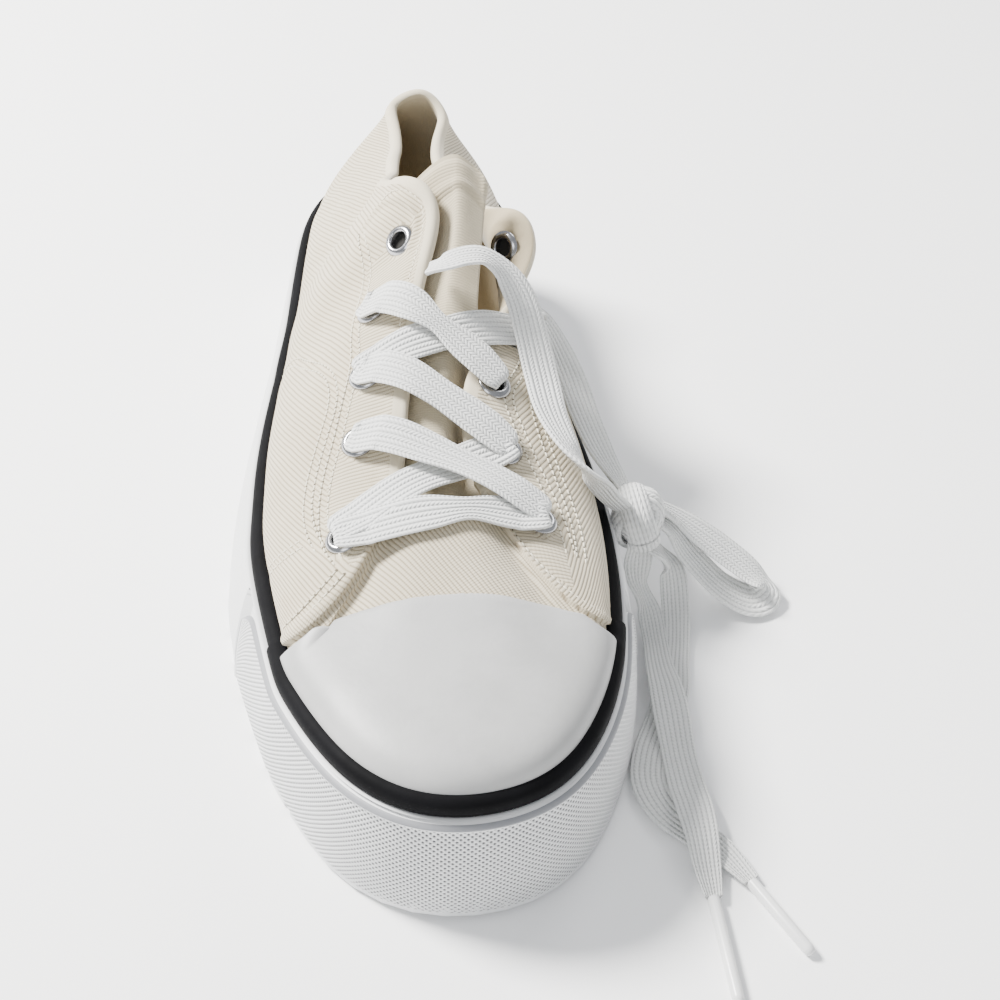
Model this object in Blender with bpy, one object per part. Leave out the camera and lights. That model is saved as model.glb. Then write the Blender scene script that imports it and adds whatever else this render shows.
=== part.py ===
"""Low canvas sneaker for the right foot, on a platform sole, standing empty with its lace tied loose.

Metres, +Z up. The toe points to -Y and the inner side of the foot is +X. The origin lies on the floor
under the centre of the heel.
"""
from math import cos, pi, radians, sin

import bmesh
import bpy
import numpy as np
from mathutils import Matrix, Vector

# Main sizes of the last and the sole
LAST_LENGTH = 0.262
BALL_WIDTH = 0.084
INSTEP_RISE = 0.057
HEEL_RISE = 0.0355
HEEL_SETBACK = 0.035

# Heights of the foxing's top edge and of the seat inside it, at heel, ball and toe
FOXING_TOP = (0.0400, 0.0310, 0.0358)
SEAT_TOP = (0.0250, 0.0160, 0.0190)
OUTSOLE_THICKNESS = 0.0050
TOE_SPRING = 0.0015
HEEL_BEVEL = 0.0012
ARCH_LIFT = 0.0010

# Walls, layers and clearances
GAP = 0.0003
UPPER_WALL = 0.0018
QUARTER_STEP = 0.0012
CAP_THICKNESS = 0.0015
CAP_GAP = 0.0011
TONGUE_THICKNESS = 0.0025
TONGUE_CLEAR_REACH = 0.0022
INSOLE_THICKNESS = 0.0030
STRIPE_WIDTH = 0.0038
STRIPE_HEIGHT = 0.0029
TOE_STRIPE_EXTRA = 0.0003
LEDGE_WIDTH = 0.0018
LEDGE_DROP = 0.0008
WALL_BOW = 0.0006
BUMPER_THICKNESS = 0.0018
BUMPER_PROUD = 0.0004
BUMPER_CORNER = 0.2
BUMPER_REACH = 0.85
BUMPER_END_INSET = 0.09
BUMPER_CORNER_REACH = 0.2
CAP_HIGHEST = 0.97
CAP_SEARCH_STEP = 0.002

# Tread
GROOVE_WIDTH = 0.0030
GROOVE_DEPTH = 0.0020
GROOVE_PITCH = 0.0120

# Eyelets and lace
EYELET_FLANGE_RADIUS = 0.0046
EYELET_BACK_RADIUS = 0.0041
EYELET_BARREL_RADIUS = 0.0029
EYELET_BORE_RADIUS = 0.0024
EYELET_HOLE_RADIUS = 0.0034
EYELET_METAL = 0.0006
EYELET_SEAT = 0.0005
LACE_WIDTH = 0.0085
LACE_THICKNESS = 0.0014
CORD_RADIUS = 0.0015
TIP_RADIUS = 0.0014
KNOT_SIZE = (0.0060, 0.0075, 0.0058)
KNOT_WAIST = 0.06

# The tables count in parts: so many parts make up each named size
LENGTH_PARTS = 262
SIDE_PARTS = 42
INSTEP_PARTS = 57
HEEL_PARTS = 35.5

# Share of the length where the heel, ball and toe heights are reached
HEEL_STATION = 0.10
BALL_STATION = 0.64

# Mesh fineness
SIDE_STEPS = 2
TOE_STEPS = 3
WALL_STEPS = 7
EYELET_SIDES = 10
STRAP_STEPS = 10
CORD_RESOLUTION = 2

# One row for each rib of the upper, from the heel round the outer side to the toe and back along the
# inner side. The rib starts at its foot on the foxing and ends at its edge, on the collar or throat.
# Flare is how far the sole stands outside the foot. Bulge and rise bend the rib at its foot, reach and
# drop bend it at its edge, and forward moves its bend toward the toe.
RIB_COLUMNS = ("name", "foot_side", "foot_along", "flare", "edge_side", "edge_along", "follows",
               "edge_up", "bulge", "rise", "reach", "drop", "forward")
RIBS = (
    ("heel back", 0, 0, 6.5, 4, 13, "heel", 35, 1, 14, 2, 10, 0),
    ("heel corner outer", -13, 2.7, 6.7, -3, 15, "heel", 33, 1, 13, 3, 9, 0),
    ("heel turn outer", -22.5, 13, 7.3, -4.5, 20, "heel", 30.5, 0, 11, 3, 8, 0),
    ("heel side outer", -28, 30, 8.6, -3.5, 30, "heel", 28, 0, 10, 4, 7, 0),
    ("rear collar outer", -30.3, 48, 9.8, -4, 43, "heel", 28.6, 0, 12, 6, 9, 0),
    ("middle collar outer", -31.8, 66, 11.2, -5.5, 57, "heel", 31.6, 0, 12, 7, 10, 0),
    ("front collar outer", -33.3, 84, 12.2, -7.5, 73, "heel", 36, 0, 12, 6, 11, 0),
    ("tab rear outer", -35, 97, 12.4, -6, 86, "instep", 52.3, 0, 15, 8, 14, 0),
    ("tab top outer", -36, 106, 12.4, 0, 96, "instep", 57, 0, 16, 9, 16, 0),
    ("tab front outer", -37.2, 115, 12.3, 4.2, 105, "instep", 52.5, 0, 16, 10, 15, 0),
    ("second eyelet outer", -38.8, 128, 12, 0.5, 120, "instep", 43.4, 0, 15, 13, 8, 0),
    ("third eyelet outer", -40.1, 145, 11.8, -3, 137, "instep", 35, 0.5, 14, 16, 4, 0),
    ("fourth eyelet outer", -40.5, 163, 11.5, -6, 159, "instep", 28, 0.5, 12, 16, 4, 0),
    ("fifth eyelet outer", -39.5, 182, 10.8, -7.5, 175, "instep", 22, 0.5, 9, 15, 4, 5),
    ("quarter front outer", -34.2, 213, 8.7, -9, 184, "instep", 20.5, 0, 7, 14, 8, 17),
    ("toe outer rear", -30, 228, 7.6, -6, 186, "instep", 22, -0.5, 7, 26, 15, 0),
    ("toe outer front", -20, 246.7, 7.5, -2, 187, "instep", 22.5, -1, 8, 37, 16, 0),
    ("toe tip outer", -5.5, 258.4, 6.7, 1.5, 187.5, "instep", 22.5, -1, 8, 40, 16, 0),
    ("toe tip inner", 11, 258.7, 6.8, 5, 187, "instep", 22.5, -1, 8, 40, 16, 0),
    ("toe inner front", 25, 249.5, 7.4, 8.5, 186, "instep", 22, -1, 8, 37, 16, 0),
    ("toe inner rear", 35, 230, 8.2, 11.5, 184, "instep", 20.5, -0.5, 7, 26, 14, 0),
    ("quarter front inner", 39.8, 209, 9.2, 13.5, 179, "instep", 18.5, 0, 7, 14, 7, 20),
    ("fifth eyelet inner", 42, 188, 9.8, 11, 171, "instep", 18.7, 0.5, 9, 15, 4, 8),
    ("fourth eyelet inner", 42.3, 169, 10, 10, 159, "instep", 23, 0.5, 11, 15, 4, 2),
    ("third eyelet inner", 41, 149, 10, 12, 145, "instep", 27.8, 0.5, 12, 14, 4, 0),
    ("second eyelet inner", 38.2, 130, 10, 18, 131, "instep", 29.7, 0, 13, 9, 2, 0),
    ("tab front inner", 35, 113, 10, 27, 112, "instep", 35, 0, 14, -12, 3, 0),
    ("tab corner inner", 33.3, 101, 10, 31, 101, "instep", 40.6, 0, 15, -14, 3, 0),
    ("tab top inner", 32, 90, 10, 28, 92, "instep", 44.5, 0, 15, -16, 6, 0),
    ("front collar inner", 31, 77, 9.6, 20, 81, "heel", 31.6, 0, 12, -1, 10, 0),
    ("middle collar inner", 30, 61, 9, 12, 63, "heel", 29.4, 0, 12, 5, 10, 0),
    ("rear collar inner", 29.2, 43, 8.4, 8.5, 45, "heel", 27.5, 0, 12, 6, 9, 0),
    ("heel side inner", 28, 27, 7.8, 9.3, 30, "heel", 27, 0, 12, 5, 8, 0),
    ("heel turn inner", 23, 11.5, 7.1, 11.5, 20, "heel", 29, 1, 12, 3, 8, 0),
    ("heel corner inner", 13, 2.6, 6.7, 9.5, 14.7, "heel", 32.5, 1, 13, 3, 9, 0),
)
RIB_NAMES = [row[0] for row in RIBS]
FRONT_OUTER = RIB_NAMES.index("quarter front outer")
FRONT_INNER = RIB_NAMES.index("quarter front inner")
RIB_COUNT = len(RIBS)

# Where the toe cap ends along the foot, at its outer corner, its middle and its inner corner
CAP_END_ALONG = (218, 213.5, 216)

# How far the cap stays clear of the quarters, in ribs
CAP_INSET = 0.10

# One row for each eyelet: where it sits around the upper, in ribs, how high up its rib, and how many
# seats it stands off the wall in front and behind
EYELET_COLUMNS = ("name", "around", "height", "front_seats", "back_seats")
EYELETS = (
    ("eyelet_outer_1", 8.8, 0.80, 3.0, 1.4),
    ("eyelet_outer_2", 10.1, 0.74, 2.4, 1.4),
    ("eyelet_outer_3", 11.3, 0.79, 1, 1),
    ("eyelet_outer_4", 12.25, 0.79, 1, 1),
    ("eyelet_outer_5", 13.42, 0.68, 1, 1),
    ("eyelet_inner_1", 27.4, 0.80, 5.4, 3.4),
    ("eyelet_inner_2", 25.2, 0.80, 3.4, 2.0),
    ("eyelet_inner_3", 24.0, 0.87, 1.4, 1),
    ("eyelet_inner_4", 22.85, 0.80, 1, 1),
    ("eyelet_inner_5", 21.9, 0.65, 1, 1),
)

# One row for each section of the tongue: its crown, and how far each side reaches out and drops
TONGUE_COLUMNS = ("along", "crown_side", "crown_up", "outer_reach", "outer_drop",
                  "inner_reach", "inner_drop")
TONGUE = (
    (198, 3, 8.5, 17, 3.5, 17, 3.5),
    (190, 3, 12.5, 18, 4.5, 18, 4.5),
    (180, 3, 17.5, 19, 6, 17, 6),
    (165, 2.5, 23.5, 19, 7, 15, 6),
    (147, 3, 29.5, 20, 9, 12, 4.5),
    (128, 5.5, 38, 20, 14, 9.5, 3.5),
    (110, 8, 49, 20, 20, 9, 5),
    (97, 9.5, 58, 19, 20, 9, 7),
    (90, 10.5, 62.6, 16, 14, 8, 6),
)
# One row for each strap of the lace: its two eyelets, how high it lies over the others, in metres, and
# how far each end is shifted toward the toe
STRAPS = (
    ("eyelet_outer_5", "eyelet_inner_5", 0.0006, 0, 0.002),
    ("eyelet_outer_4", "eyelet_inner_5", 0.0010, 0, -0.002),
    ("eyelet_inner_4", "eyelet_outer_5", 0.0, 0, 0),
    ("eyelet_outer_3", "eyelet_inner_4", 0.0010, 0, 0),
    ("eyelet_inner_2", "eyelet_outer_3", 0.0, 0, 0),
    ("eyelet_outer_2", "eyelet_inner_3", 0.0010, 0, 0),
)

TONGUE_CURVE = 1.6

# The lace's free runs: points chosen by hand, in metres, in the order the lace lies
LEAD_FRONT = ((0.0020, -0.0890, 0.0785), (0.0060, -0.0895, 0.0805), (0.0110, -0.0880, 0.0815),
              (0.0165, -0.0865, 0.0805), (0.0220, -0.0875, 0.0760), (0.0260, -0.0915, 0.0700),
              (0.0285, -0.0975, 0.0625), (0.0303, -0.1060, 0.0565), (0.0320, -0.1170, 0.0525),
              (0.0355, -0.1275, 0.0495), (0.0405, -0.1320, 0.0445), (0.0455, -0.1315, 0.0370))
LEAD_REAR = ((0.0285, -0.0845, 0.0630), (0.0312, -0.0815, 0.0600), (0.0345, -0.0820, 0.0550),
             (0.0382, -0.0850, 0.0485), (0.0413, -0.0910, 0.0430), (0.0438, -0.1000, 0.0385),
             (0.0468, -0.1085, 0.0343), (0.0498, -0.1150, 0.0312))
LOOP_RUN = ((0.0610, -0.1220, 0.0245), (0.0690, -0.1195, 0.0170), (0.0800, -0.1230, 0.0100),
            (0.0885, -0.1285, 0.0045), (0.0915, -0.1345, 0.0025), (0.0870, -0.1390, 0.0030),
            (0.0790, -0.1365, 0.0065), (0.0710, -0.1315, 0.0135), (0.0650, -0.1270, 0.0225))
END_LONG = ((0.0545, -0.1375, 0.0130), (0.0575, -0.1415, 0.0055), (0.0583, -0.1490, 0.0022),
            (0.0578, -0.1590, 0.0032), (0.0577, -0.1680, 0.0050), (0.0577, -0.1770, 0.0050),
            (0.0578, -0.1880, 0.0030), (0.0579, -0.1990, 0.0036), (0.0582, -0.2070, 0.0050),
            (0.0584, -0.2150, 0.0050), (0.0586, -0.2230, 0.0026), (0.0587, -0.2300, 0.0018))
END_SHORT = ((0.0640, -0.1330, 0.0130), (0.0650, -0.1400, 0.0050), (0.0640, -0.1490, 0.0017),
             (0.0622, -0.1570, 0.0016), (0.0600, -0.1665, 0.0016), (0.0560, -0.1775, 0.0016),
             (0.0517, -0.1875, 0.0016), (0.0500, -0.1965, 0.0016), (0.0524, -0.2050, 0.0016),
             (0.0578, -0.2115, 0.0016), (0.0635, -0.2180, 0.0016), (0.0680, -0.2260, 0.0016))
KNOT_CENTRE = (0.0549, -0.1277, 0.0260)
TIP_LONG = ((0.0588, -0.2306, 0.0018), (0.0593, -0.2570, 0.0016))
TIP_SHORT = ((0.0683, -0.2266, 0.0016), (0.0775, -0.2455, 0.0016))

# Colours of the materials
COLOURS = {
    "canvas": ((0.72, 0.69, 0.62), 0.95, 0.0),
    "lining": ((0.62, 0.57, 0.48), 0.95, 0.0),
    "white_rubber": ((0.84, 0.84, 0.85), 0.45, 0.0),
    "black_rubber": ((0.012, 0.012, 0.014), 0.40, 0.0),
    "foam": ((0.80, 0.80, 0.80), 0.80, 0.0),
    "nickel": ((0.62, 0.62, 0.64), 0.25, 1.0),
    "lace": ((0.88, 0.88, 0.88), 0.90, 0.0),
    "lace_tip": ((0.86, 0.86, 0.86), 0.30, 0.0),
}


def clear_scene():
    for thing in list(bpy.data.objects):
        bpy.data.objects.remove(thing, do_unlink=True)


def material(name):
    existing = bpy.data.materials.get(name)
    if existing:
        return existing
    colour, roughness, metallic = COLOURS[name]
    made = bpy.data.materials.new(name)
    made.use_nodes = True
    shader = made.node_tree.nodes["Principled BSDF"]
    shader.inputs["Base Color"].default_value = (*colour, 1)
    shader.inputs["Roughness"].default_value = roughness
    shader.inputs["Metallic"].default_value = metallic
    return made


def add_object(name, mesh, material_name):
    made = bpy.data.objects.new(name, mesh)
    bpy.context.scene.collection.objects.link(made)
    made.data.materials.append(material(material_name))
    return made


def closed_mesh(name, points, faces, material_name):
    """A closed solid from points and faces, with its faces turned out and its edges smooth."""
    mesh = bpy.data.meshes.new(name)
    mesh.from_pydata([tuple(p) for p in points], [], faces)
    work = bmesh.new()
    work.from_mesh(mesh)
    bmesh.ops.recalc_face_normals(work, faces=work.faces)
    bmesh.ops.triangulate(work, faces=work.faces)
    work.to_mesh(mesh)
    work.free()
    mesh.shade_smooth()
    mesh.set_sharp_from_angle(angle=radians(40))
    return add_object(name, mesh, material_name)


def smooth_step(value):
    value = np.clip(value, 0, 1)
    return value * value * (3 - 2 * value)


def station(y):
    """Share of the last's length at a place along Y."""
    return (HEEL_SETBACK - y) / LAST_LENGTH


def profile(sizes, y):
    """A height or width that goes smoothly from its heel size to its ball size and its toe size."""
    share = station(y)
    heel, ball, toe = sizes
    to_ball = smooth_step((share - HEEL_STATION) / (BALL_STATION - HEEL_STATION))
    to_toe = smooth_step((share - BALL_STATION) / (1 - BALL_STATION))
    return heel + (ball - heel) * to_ball + (toe - ball) * to_toe


def periodic_slopes(values):
    """Slopes of the smooth closed curve through evenly counted values."""
    count = len(values)
    system = 4 * np.eye(count) + np.roll(np.eye(count), 1, axis=1) + np.roll(np.eye(count), -1, axis=1)
    change = 3 * (np.roll(values, -1, axis=0) - np.roll(values, 1, axis=0))
    return np.linalg.solve(system, change.reshape(count, -1)).reshape(values.shape)


def rib_points():
    """The four Bezier points of each rib, as an array of ribs, points and axes."""
    side_unit = BALL_WIDTH / 2 / SIDE_PARTS
    along_unit = LAST_LENGTH / LENGTH_PARTS
    ribs = []
    for row in RIBS:
        cell = dict(zip(RIB_COLUMNS, row))
        if cell["follows"] == "heel":
            up_unit = HEEL_RISE / HEEL_PARTS
            base = FOXING_TOP[0]
        else:
            up_unit = INSTEP_RISE / INSTEP_PARTS
            base = FOXING_TOP[1]
        foot_y = HEEL_SETBACK - cell["foot_along"] * along_unit
        foot = np.array([cell["foot_side"] * side_unit, foot_y, profile(FOXING_TOP, foot_y)])
        edge_y = HEEL_SETBACK - cell["edge_along"] * along_unit
        edge = np.array([cell["edge_side"] * side_unit, edge_y, base + cell["edge_up"] * up_unit])
        outward = (foot - edge) * (1, 1, 0)
        outward /= np.linalg.norm(outward)
        up = np.array([0, 0, 1])
        toward_toe = np.array([0, -1, 0]) * cell["forward"] * along_unit
        low = foot + outward * cell["bulge"] * side_unit + up * cell["rise"] * up_unit + toward_toe / 2
        high = edge + outward * cell["reach"] * side_unit - up * cell["drop"] * up_unit + toward_toe
        ribs.append((foot, low, high, edge))
    return np.array(ribs)


class UpperSurface:
    """The outer face of the upper: around counts the ribs, height goes from 0 at the foxing to 1."""

    def __init__(self):
        self.points = rib_points()
        self.slopes = periodic_slopes(self.points)
        side_unit = BALL_WIDTH / 2 / SIDE_PARTS
        self.flares = np.array([row[RIB_COLUMNS.index("flare")] * side_unit for row in RIBS])
        self.flare_slopes = periodic_slopes(self.flares)

    def between(self, values, slopes, around):
        """A smooth value between two ribs."""
        index = int(np.floor(around))
        share = around - index
        here = index % RIB_COUNT
        after = (index + 1) % RIB_COUNT
        square = share * share
        cube = square * share
        return (values[here] * (2 * cube - 3 * square + 1) + slopes[here] * (cube - 2 * square + share)
                + values[after] * (3 * square - 2 * cube) + slopes[after] * (cube - square))

    def flare(self, around):
        return self.between(self.flares, self.flare_slopes, around)

    def place(self, around, height):
        foot, low, high, edge = self.between(self.points, self.slopes, around)
        rest = 1 - height
        return (foot * rest ** 3 + low * 3 * rest ** 2 * height
                + high * 3 * rest * height ** 2 + edge * height ** 3)

    def outward(self, around):
        """The level direction out of the foot line."""
        small = 0.05
        along = self.place(around + small, 0) - self.place(around - small, 0)
        turned = np.array([along[1], -along[0], 0])
        return turned / np.linalg.norm(turned)

    def normal(self, around, height):
        """The direction out of the surface, level at the foot."""
        small = 0.02
        across = self.place(around + small, height) - self.place(around - small, height)
        lower = max(height - small, 0)
        upper = min(height + small, 1)
        up = self.place(around, upper) - self.place(around, lower)
        turned = np.cross(across, up)
        turned /= np.linalg.norm(turned)
        free = smooth_step(height / 0.15)
        mixed = turned * free + self.outward(around) * (1 - free)
        return mixed / np.linalg.norm(mixed)

    def outline(self, around, offset, z):
        """A point beside the foot line, moved out level by an offset, at a height z."""
        foot = self.place(around, 0) + self.outward(around) * offset
        return np.array([foot[0], foot[1], z])


UPPER = UpperSurface()


def around_steps():
    """The places around the shoe where its rings have a section: finer round the toe."""
    places = []
    for index in range(RIB_COUNT):
        steps = TOE_STEPS if FRONT_OUTER <= index < FRONT_INNER else SIDE_STEPS
        places += [index + step / steps for step in range(steps)]
    return places


def upper_steps():
    """The same places, with a close pair where the quarters step up from the vamp."""
    close = 0.04
    places = [a for a in around_steps() if a not in (FRONT_OUTER, FRONT_INNER)]
    for front in (FRONT_OUTER, FRONT_INNER):
        places += [front - close, front + close]
    return sorted(places + [FRONT_OUTER + CAP_INSET, FRONT_INNER - CAP_INSET])


def quarter_thickness(around, height):
    """How far the quarters stand proud of the vamp, fading out at the foxing."""
    if FRONT_OUTER < around < FRONT_INNER:
        return 0
    return QUARTER_STEP * float(smooth_step(height / 0.12))


def ring_solid(name, sections, material_name):
    """A closed ring through a list of closed sections with as many points each."""
    points = [p for section in sections for p in section]
    size = len(sections[0])
    count = len(sections)
    faces = []
    for i in range(count):
        after = (i + 1) % count
        for k in range(size):
            nxt = (k + 1) % size
            faces.append((i * size + k, after * size + k, after * size + nxt, i * size + nxt))
    return closed_mesh(name, points, faces, material_name)


def bar_solid(name, sections, material_name):
    """A closed bar through a list of closed sections, with both ends filled."""
    points = [p for section in sections for p in section]
    size = len(sections[0])
    faces = []
    for i in range(len(sections) - 1):
        for k in range(size):
            nxt = (k + 1) % size
            faces.append((i * size + k, (i + 1) * size + k, (i + 1) * size + nxt, i * size + nxt))
    last = (len(sections) - 1) * size
    faces.append(tuple(range(size)))
    faces.append(tuple(last + k for k in reversed(range(size))))
    return closed_mesh(name, points, faces, material_name)


def slab_solid(name, offset_low, offset_high, low, high, material_name):
    """A layer of the sole: its outline at two offsets, and its lower and upper height along the foot."""
    places = around_steps()
    bottom = [UPPER.outline(a, offset_low(a), 0) for a in places]
    top = [UPPER.outline(a, offset_high(a), 0) for a in places]
    for p in bottom:
        p[2] = low(p[1])
    for p in top:
        p[2] = high(p[1])
    count = len(places)
    faces = [(i, (i + 1) % count, count + (i + 1) % count, count + i) for i in range(count)]
    half = count // 2
    for i in range(half):
        left, left_next = i, i + 1
        right, right_next = (count - i) % count, count - i - 1
        rung = [left, left_next, right_next, right]
        corners = list(dict.fromkeys(rung))
        if len(corners) > 2:
            faces.append(tuple(corners))
            faces.append(tuple(count + c for c in reversed(corners)))
    return closed_mesh(name, bottom + top, faces, material_name)


def build_upper():
    sections = []
    for around in upper_steps():
        seat = profile(SEAT_TOP, UPPER.place(around, 0)[1]) + GAP
        section = [UPPER.outline(around, 0, seat)]
        for step in range(WALL_STEPS + 1):
            height = step / WALL_STEPS
            proud = quarter_thickness(around, height)
            section.append(UPPER.place(around, height) + UPPER.normal(around, height) * proud)
        for step in range(WALL_STEPS, -1, -1):
            height = step / WALL_STEPS
            section.append(UPPER.place(around, height) - UPPER.normal(around, height) * UPPER_WALL)
        section.append(UPPER.outline(around, -UPPER_WALL, seat))
        sections.append(section)
    upper = ring_solid("upper", sections, "canvas")
    for spot in eyelet_spots():
        drill(upper, spot)
    return upper


def eyelet_spots():
    """Name, centre, outward direction and stand-off outside and inside of each eyelet."""
    spots = []
    for row in EYELETS:
        cell = dict(zip(EYELET_COLUMNS, row))
        around, height = cell["around"], cell["height"]
        outside = quarter_thickness(around, height) + cell["front_seats"] * EYELET_SEAT
        inside = -UPPER_WALL - cell["back_seats"] * EYELET_SEAT
        centre = UPPER.place(around, height)
        spots.append((cell["name"], centre, UPPER.normal(around, height), outside, inside))
    return spots


def facing(direction):
    return Vector(direction).to_track_quat("Z", "Y").to_matrix().to_4x4()


def drill(target, spot):
    """Cut an eyelet's round hole through the wall."""
    name, centre, normal, outside, inside = spot
    work = bmesh.new()
    depth = 4 * (outside - inside)
    bmesh.ops.create_cone(work, cap_ends=True, segments=EYELET_SIDES, radius1=EYELET_HOLE_RADIUS,
                          radius2=EYELET_HOLE_RADIUS, depth=depth)
    mesh = bpy.data.meshes.new("cut_" + name)
    work.to_mesh(mesh)
    work.free()
    cutter = bpy.data.objects.new("cut_" + name, mesh)
    bpy.context.scene.collection.objects.link(cutter)
    cutter.matrix_world = Matrix.Translation(Vector(centre)) @ facing(normal)
    cutter.hide_render = True
    cutter.display_type = "WIRE"
    cut = target.modifiers.new("hole " + name, "BOOLEAN")
    cut.operation = "DIFFERENCE"
    cut.object = cutter


def build_eyelet(spot):
    """A turned metal eyelet: a flange outside, a barrel through the wall and a rolled back inside."""
    name, centre, normal, outside, inside = spot
    turned = (
        (EYELET_BORE_RADIUS, outside + EYELET_METAL),
        (EYELET_FLANGE_RADIUS, outside),
        (EYELET_BARREL_RADIUS, outside),
        (EYELET_BARREL_RADIUS, inside),
        (EYELET_BACK_RADIUS, inside),
        (EYELET_BORE_RADIUS, inside - EYELET_METAL),
    )
    turn = facing(normal)
    sections = []
    for side in range(EYELET_SIDES):
        angle = 2 * pi * side / EYELET_SIDES
        section = [Vector(centre) + turn @ Vector((r * cos(angle), r * sin(angle), z)) for r, z in turned]
        sections.append(section)
    return ring_solid(name, sections, "nickel")


def build_toe_cap():
    """The rubber cap over the toe: a skin on the upper's own surface, up to its curved back edge."""
    steps = 7
    along_unit = LAST_LENGTH / LENGTH_PARTS
    outer_end, middle_end, inner_end = CAP_END_ALONG
    places = [a for a in around_steps() if FRONT_OUTER < a < FRONT_INNER]
    close = [CAP_INSET * part for part in (1, 1.7, 2.5)]
    places += [FRONT_OUTER + part for part in close]
    places += [FRONT_INNER - part for part in close]
    places.sort()
    sections = []
    for around in places:
        across = (around - places[0]) / (places[-1] - places[0])
        corner = outer_end + (inner_end - outer_end) * across
        stop_along = corner + (middle_end - (outer_end + inner_end) / 2) * sin(pi * across) ** 0.55
        stop_y = HEEL_SETBACK - stop_along * along_unit
        low = foot_clear_height(around)
        high = low + 10 * CAP_SEARCH_STEP
        while high < CAP_HIGHEST and UPPER.place(around, high)[1] < stop_y:
            high += CAP_SEARCH_STEP
        outer = []
        inner = []
        for step in range(steps + 1):
            height = low + (high - low) * step / steps
            normal = UPPER.normal(around, height)
            spot = UPPER.place(around, height)
            outer.append(spot + normal * (CAP_GAP + CAP_THICKNESS))
            inner.append(spot + normal * CAP_GAP)
        sections.append(outer + inner[::-1])
    return bar_solid("toe_cap", sections, "white_rubber")


def foot_clear_height(around):
    """The lowest share of a rib that clears the top of the stripe."""
    height = 0.0
    foot = UPPER.place(around, 0)
    while UPPER.place(around, height)[2] < foot[2] + 2 * GAP:
        height += 0.005
    return height


def bumper_share(around):
    """1 where the toe bumper wraps the foxing, 0 elsewhere."""
    if FRONT_OUTER - BUMPER_REACH <= around <= FRONT_INNER + BUMPER_REACH:
        return 1
    return 0


def wall_point(around, share, inset):
    """A point on the foxing's outer wall: share goes from 0 at its ledge to 1 at the outsole."""
    foot = UPPER.place(around, 0)
    low = sole_lid(foot[1]) + GAP
    shoulder_out = GAP + STRIPE_WIDTH + LEDGE_WIDTH
    shoulder_up = foot[2] - STRIPE_HEIGHT - GAP - LEDGE_DROP
    flare = max(UPPER.flare(around), shoulder_out)
    bow = WALL_BOW * 4 * share * (1 - share)
    out = shoulder_out + (flare - shoulder_out) * share + bow - inset
    return UPPER.outline(around, out, shoulder_up + (low - shoulder_up) * share)


def build_foxing():
    """The rubber wall round the platform, with a ledge for the stripe and a recess for the bumper."""
    edge = 0.05
    places = around_steps()
    for limit in (FRONT_OUTER - BUMPER_REACH, FRONT_INNER + BUMPER_REACH):
        places += [limit - edge, limit + edge]
    sections = []
    for around in sorted(places):
        foot = UPPER.place(around, 0)
        low = sole_lid(foot[1]) + GAP
        recess = (BUMPER_THICKNESS + GAP) * bumper_share(around)
        bed = foot[2] - STRIPE_HEIGHT - GAP
        sections.append([UPPER.outline(around, GAP, low), UPPER.outline(around, GAP, bed),
                         UPPER.outline(around, GAP + STRIPE_WIDTH, bed), wall_point(around, 0, recess),
                         wall_point(around, 0.5, recess), wall_point(around, 1, recess)])
    return ring_solid("foxing", sections, "white_rubber")


def build_bumper():
    """The raised toe bumper, bent round the foxing's recess, with rounded upper corners at its ends."""
    start = FRONT_OUTER - BUMPER_REACH + BUMPER_END_INSET
    end = FRONT_INNER + BUMPER_REACH - BUMPER_END_INSET
    places = [start, start + BUMPER_CORNER_REACH / 2]
    places += [a for a in around_steps() if start + BUMPER_CORNER_REACH < a < end - BUMPER_CORNER_REACH]
    places += [end - BUMPER_CORNER_REACH / 2, end]
    sections = []
    for around in places:
        inward = min(around - start, end - around) / BUMPER_CORNER_REACH
        corner = BUMPER_CORNER * (1 - min(inward, 1)) ** 2
        shares = (corner, (1 + corner) / 2, 1)
        outside = [wall_point(around, share, -BUMPER_PROUD) for share in shares]
        inside = [wall_point(around, share, BUMPER_THICKNESS) for share in shares]
        sections.append(outside + inside[::-1])
    return bar_solid("toe_bumper", sections, "white_rubber")


def stripe_section(around, extra):
    foot = UPPER.place(around, 0)
    low = foot[2] - STRIPE_HEIGHT
    out = GAP + STRIPE_WIDTH + extra
    shape = ((GAP, low), (out, low), (out, low + 0.5 * STRIPE_HEIGHT),
             (GAP + 0.6 * STRIPE_WIDTH, foot[2]), (GAP, foot[2]))
    return [UPPER.outline(around, offset, z) for offset, z in shape]


def build_stripes():
    """The dark stripe along the sides and heel, and the thicker one round the toe."""
    join = 0.05
    toe = [a for a in around_steps() if FRONT_OUTER < a < FRONT_INNER]
    side = [a for a in around_steps() if a > FRONT_INNER]
    side += [a + RIB_COUNT for a in around_steps() if a < FRONT_OUTER]
    toe = [FRONT_OUTER + join] + toe + [FRONT_INNER - join]
    side = [FRONT_INNER + join] + side + [FRONT_OUTER - join + RIB_COUNT]
    bar_solid("side_stripe", [stripe_section(a, 0) for a in side], "black_rubber")
    bar_solid("toe_stripe", [stripe_section(a, TOE_STRIPE_EXTRA) for a in toe], "black_rubber")


def sole_bottom(y):
    """Height of the tread: flat under heel and ball, lifted at the arch, the toe and the back."""
    share = station(y)
    arch = float(smooth_step((share - 0.30) / 0.08) - smooth_step((share - 0.46) / 0.08))
    toe = float(smooth_step((share - 0.80) / 0.25))
    heel = float(smooth_step((0.04 - share) / 0.08))
    return ARCH_LIFT * arch + TOE_SPRING * toe + HEEL_BEVEL * heel


def sole_lid(y):
    return OUTSOLE_THICKNESS + profile((HEEL_BEVEL, 0, TOE_SPRING), y)


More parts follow.
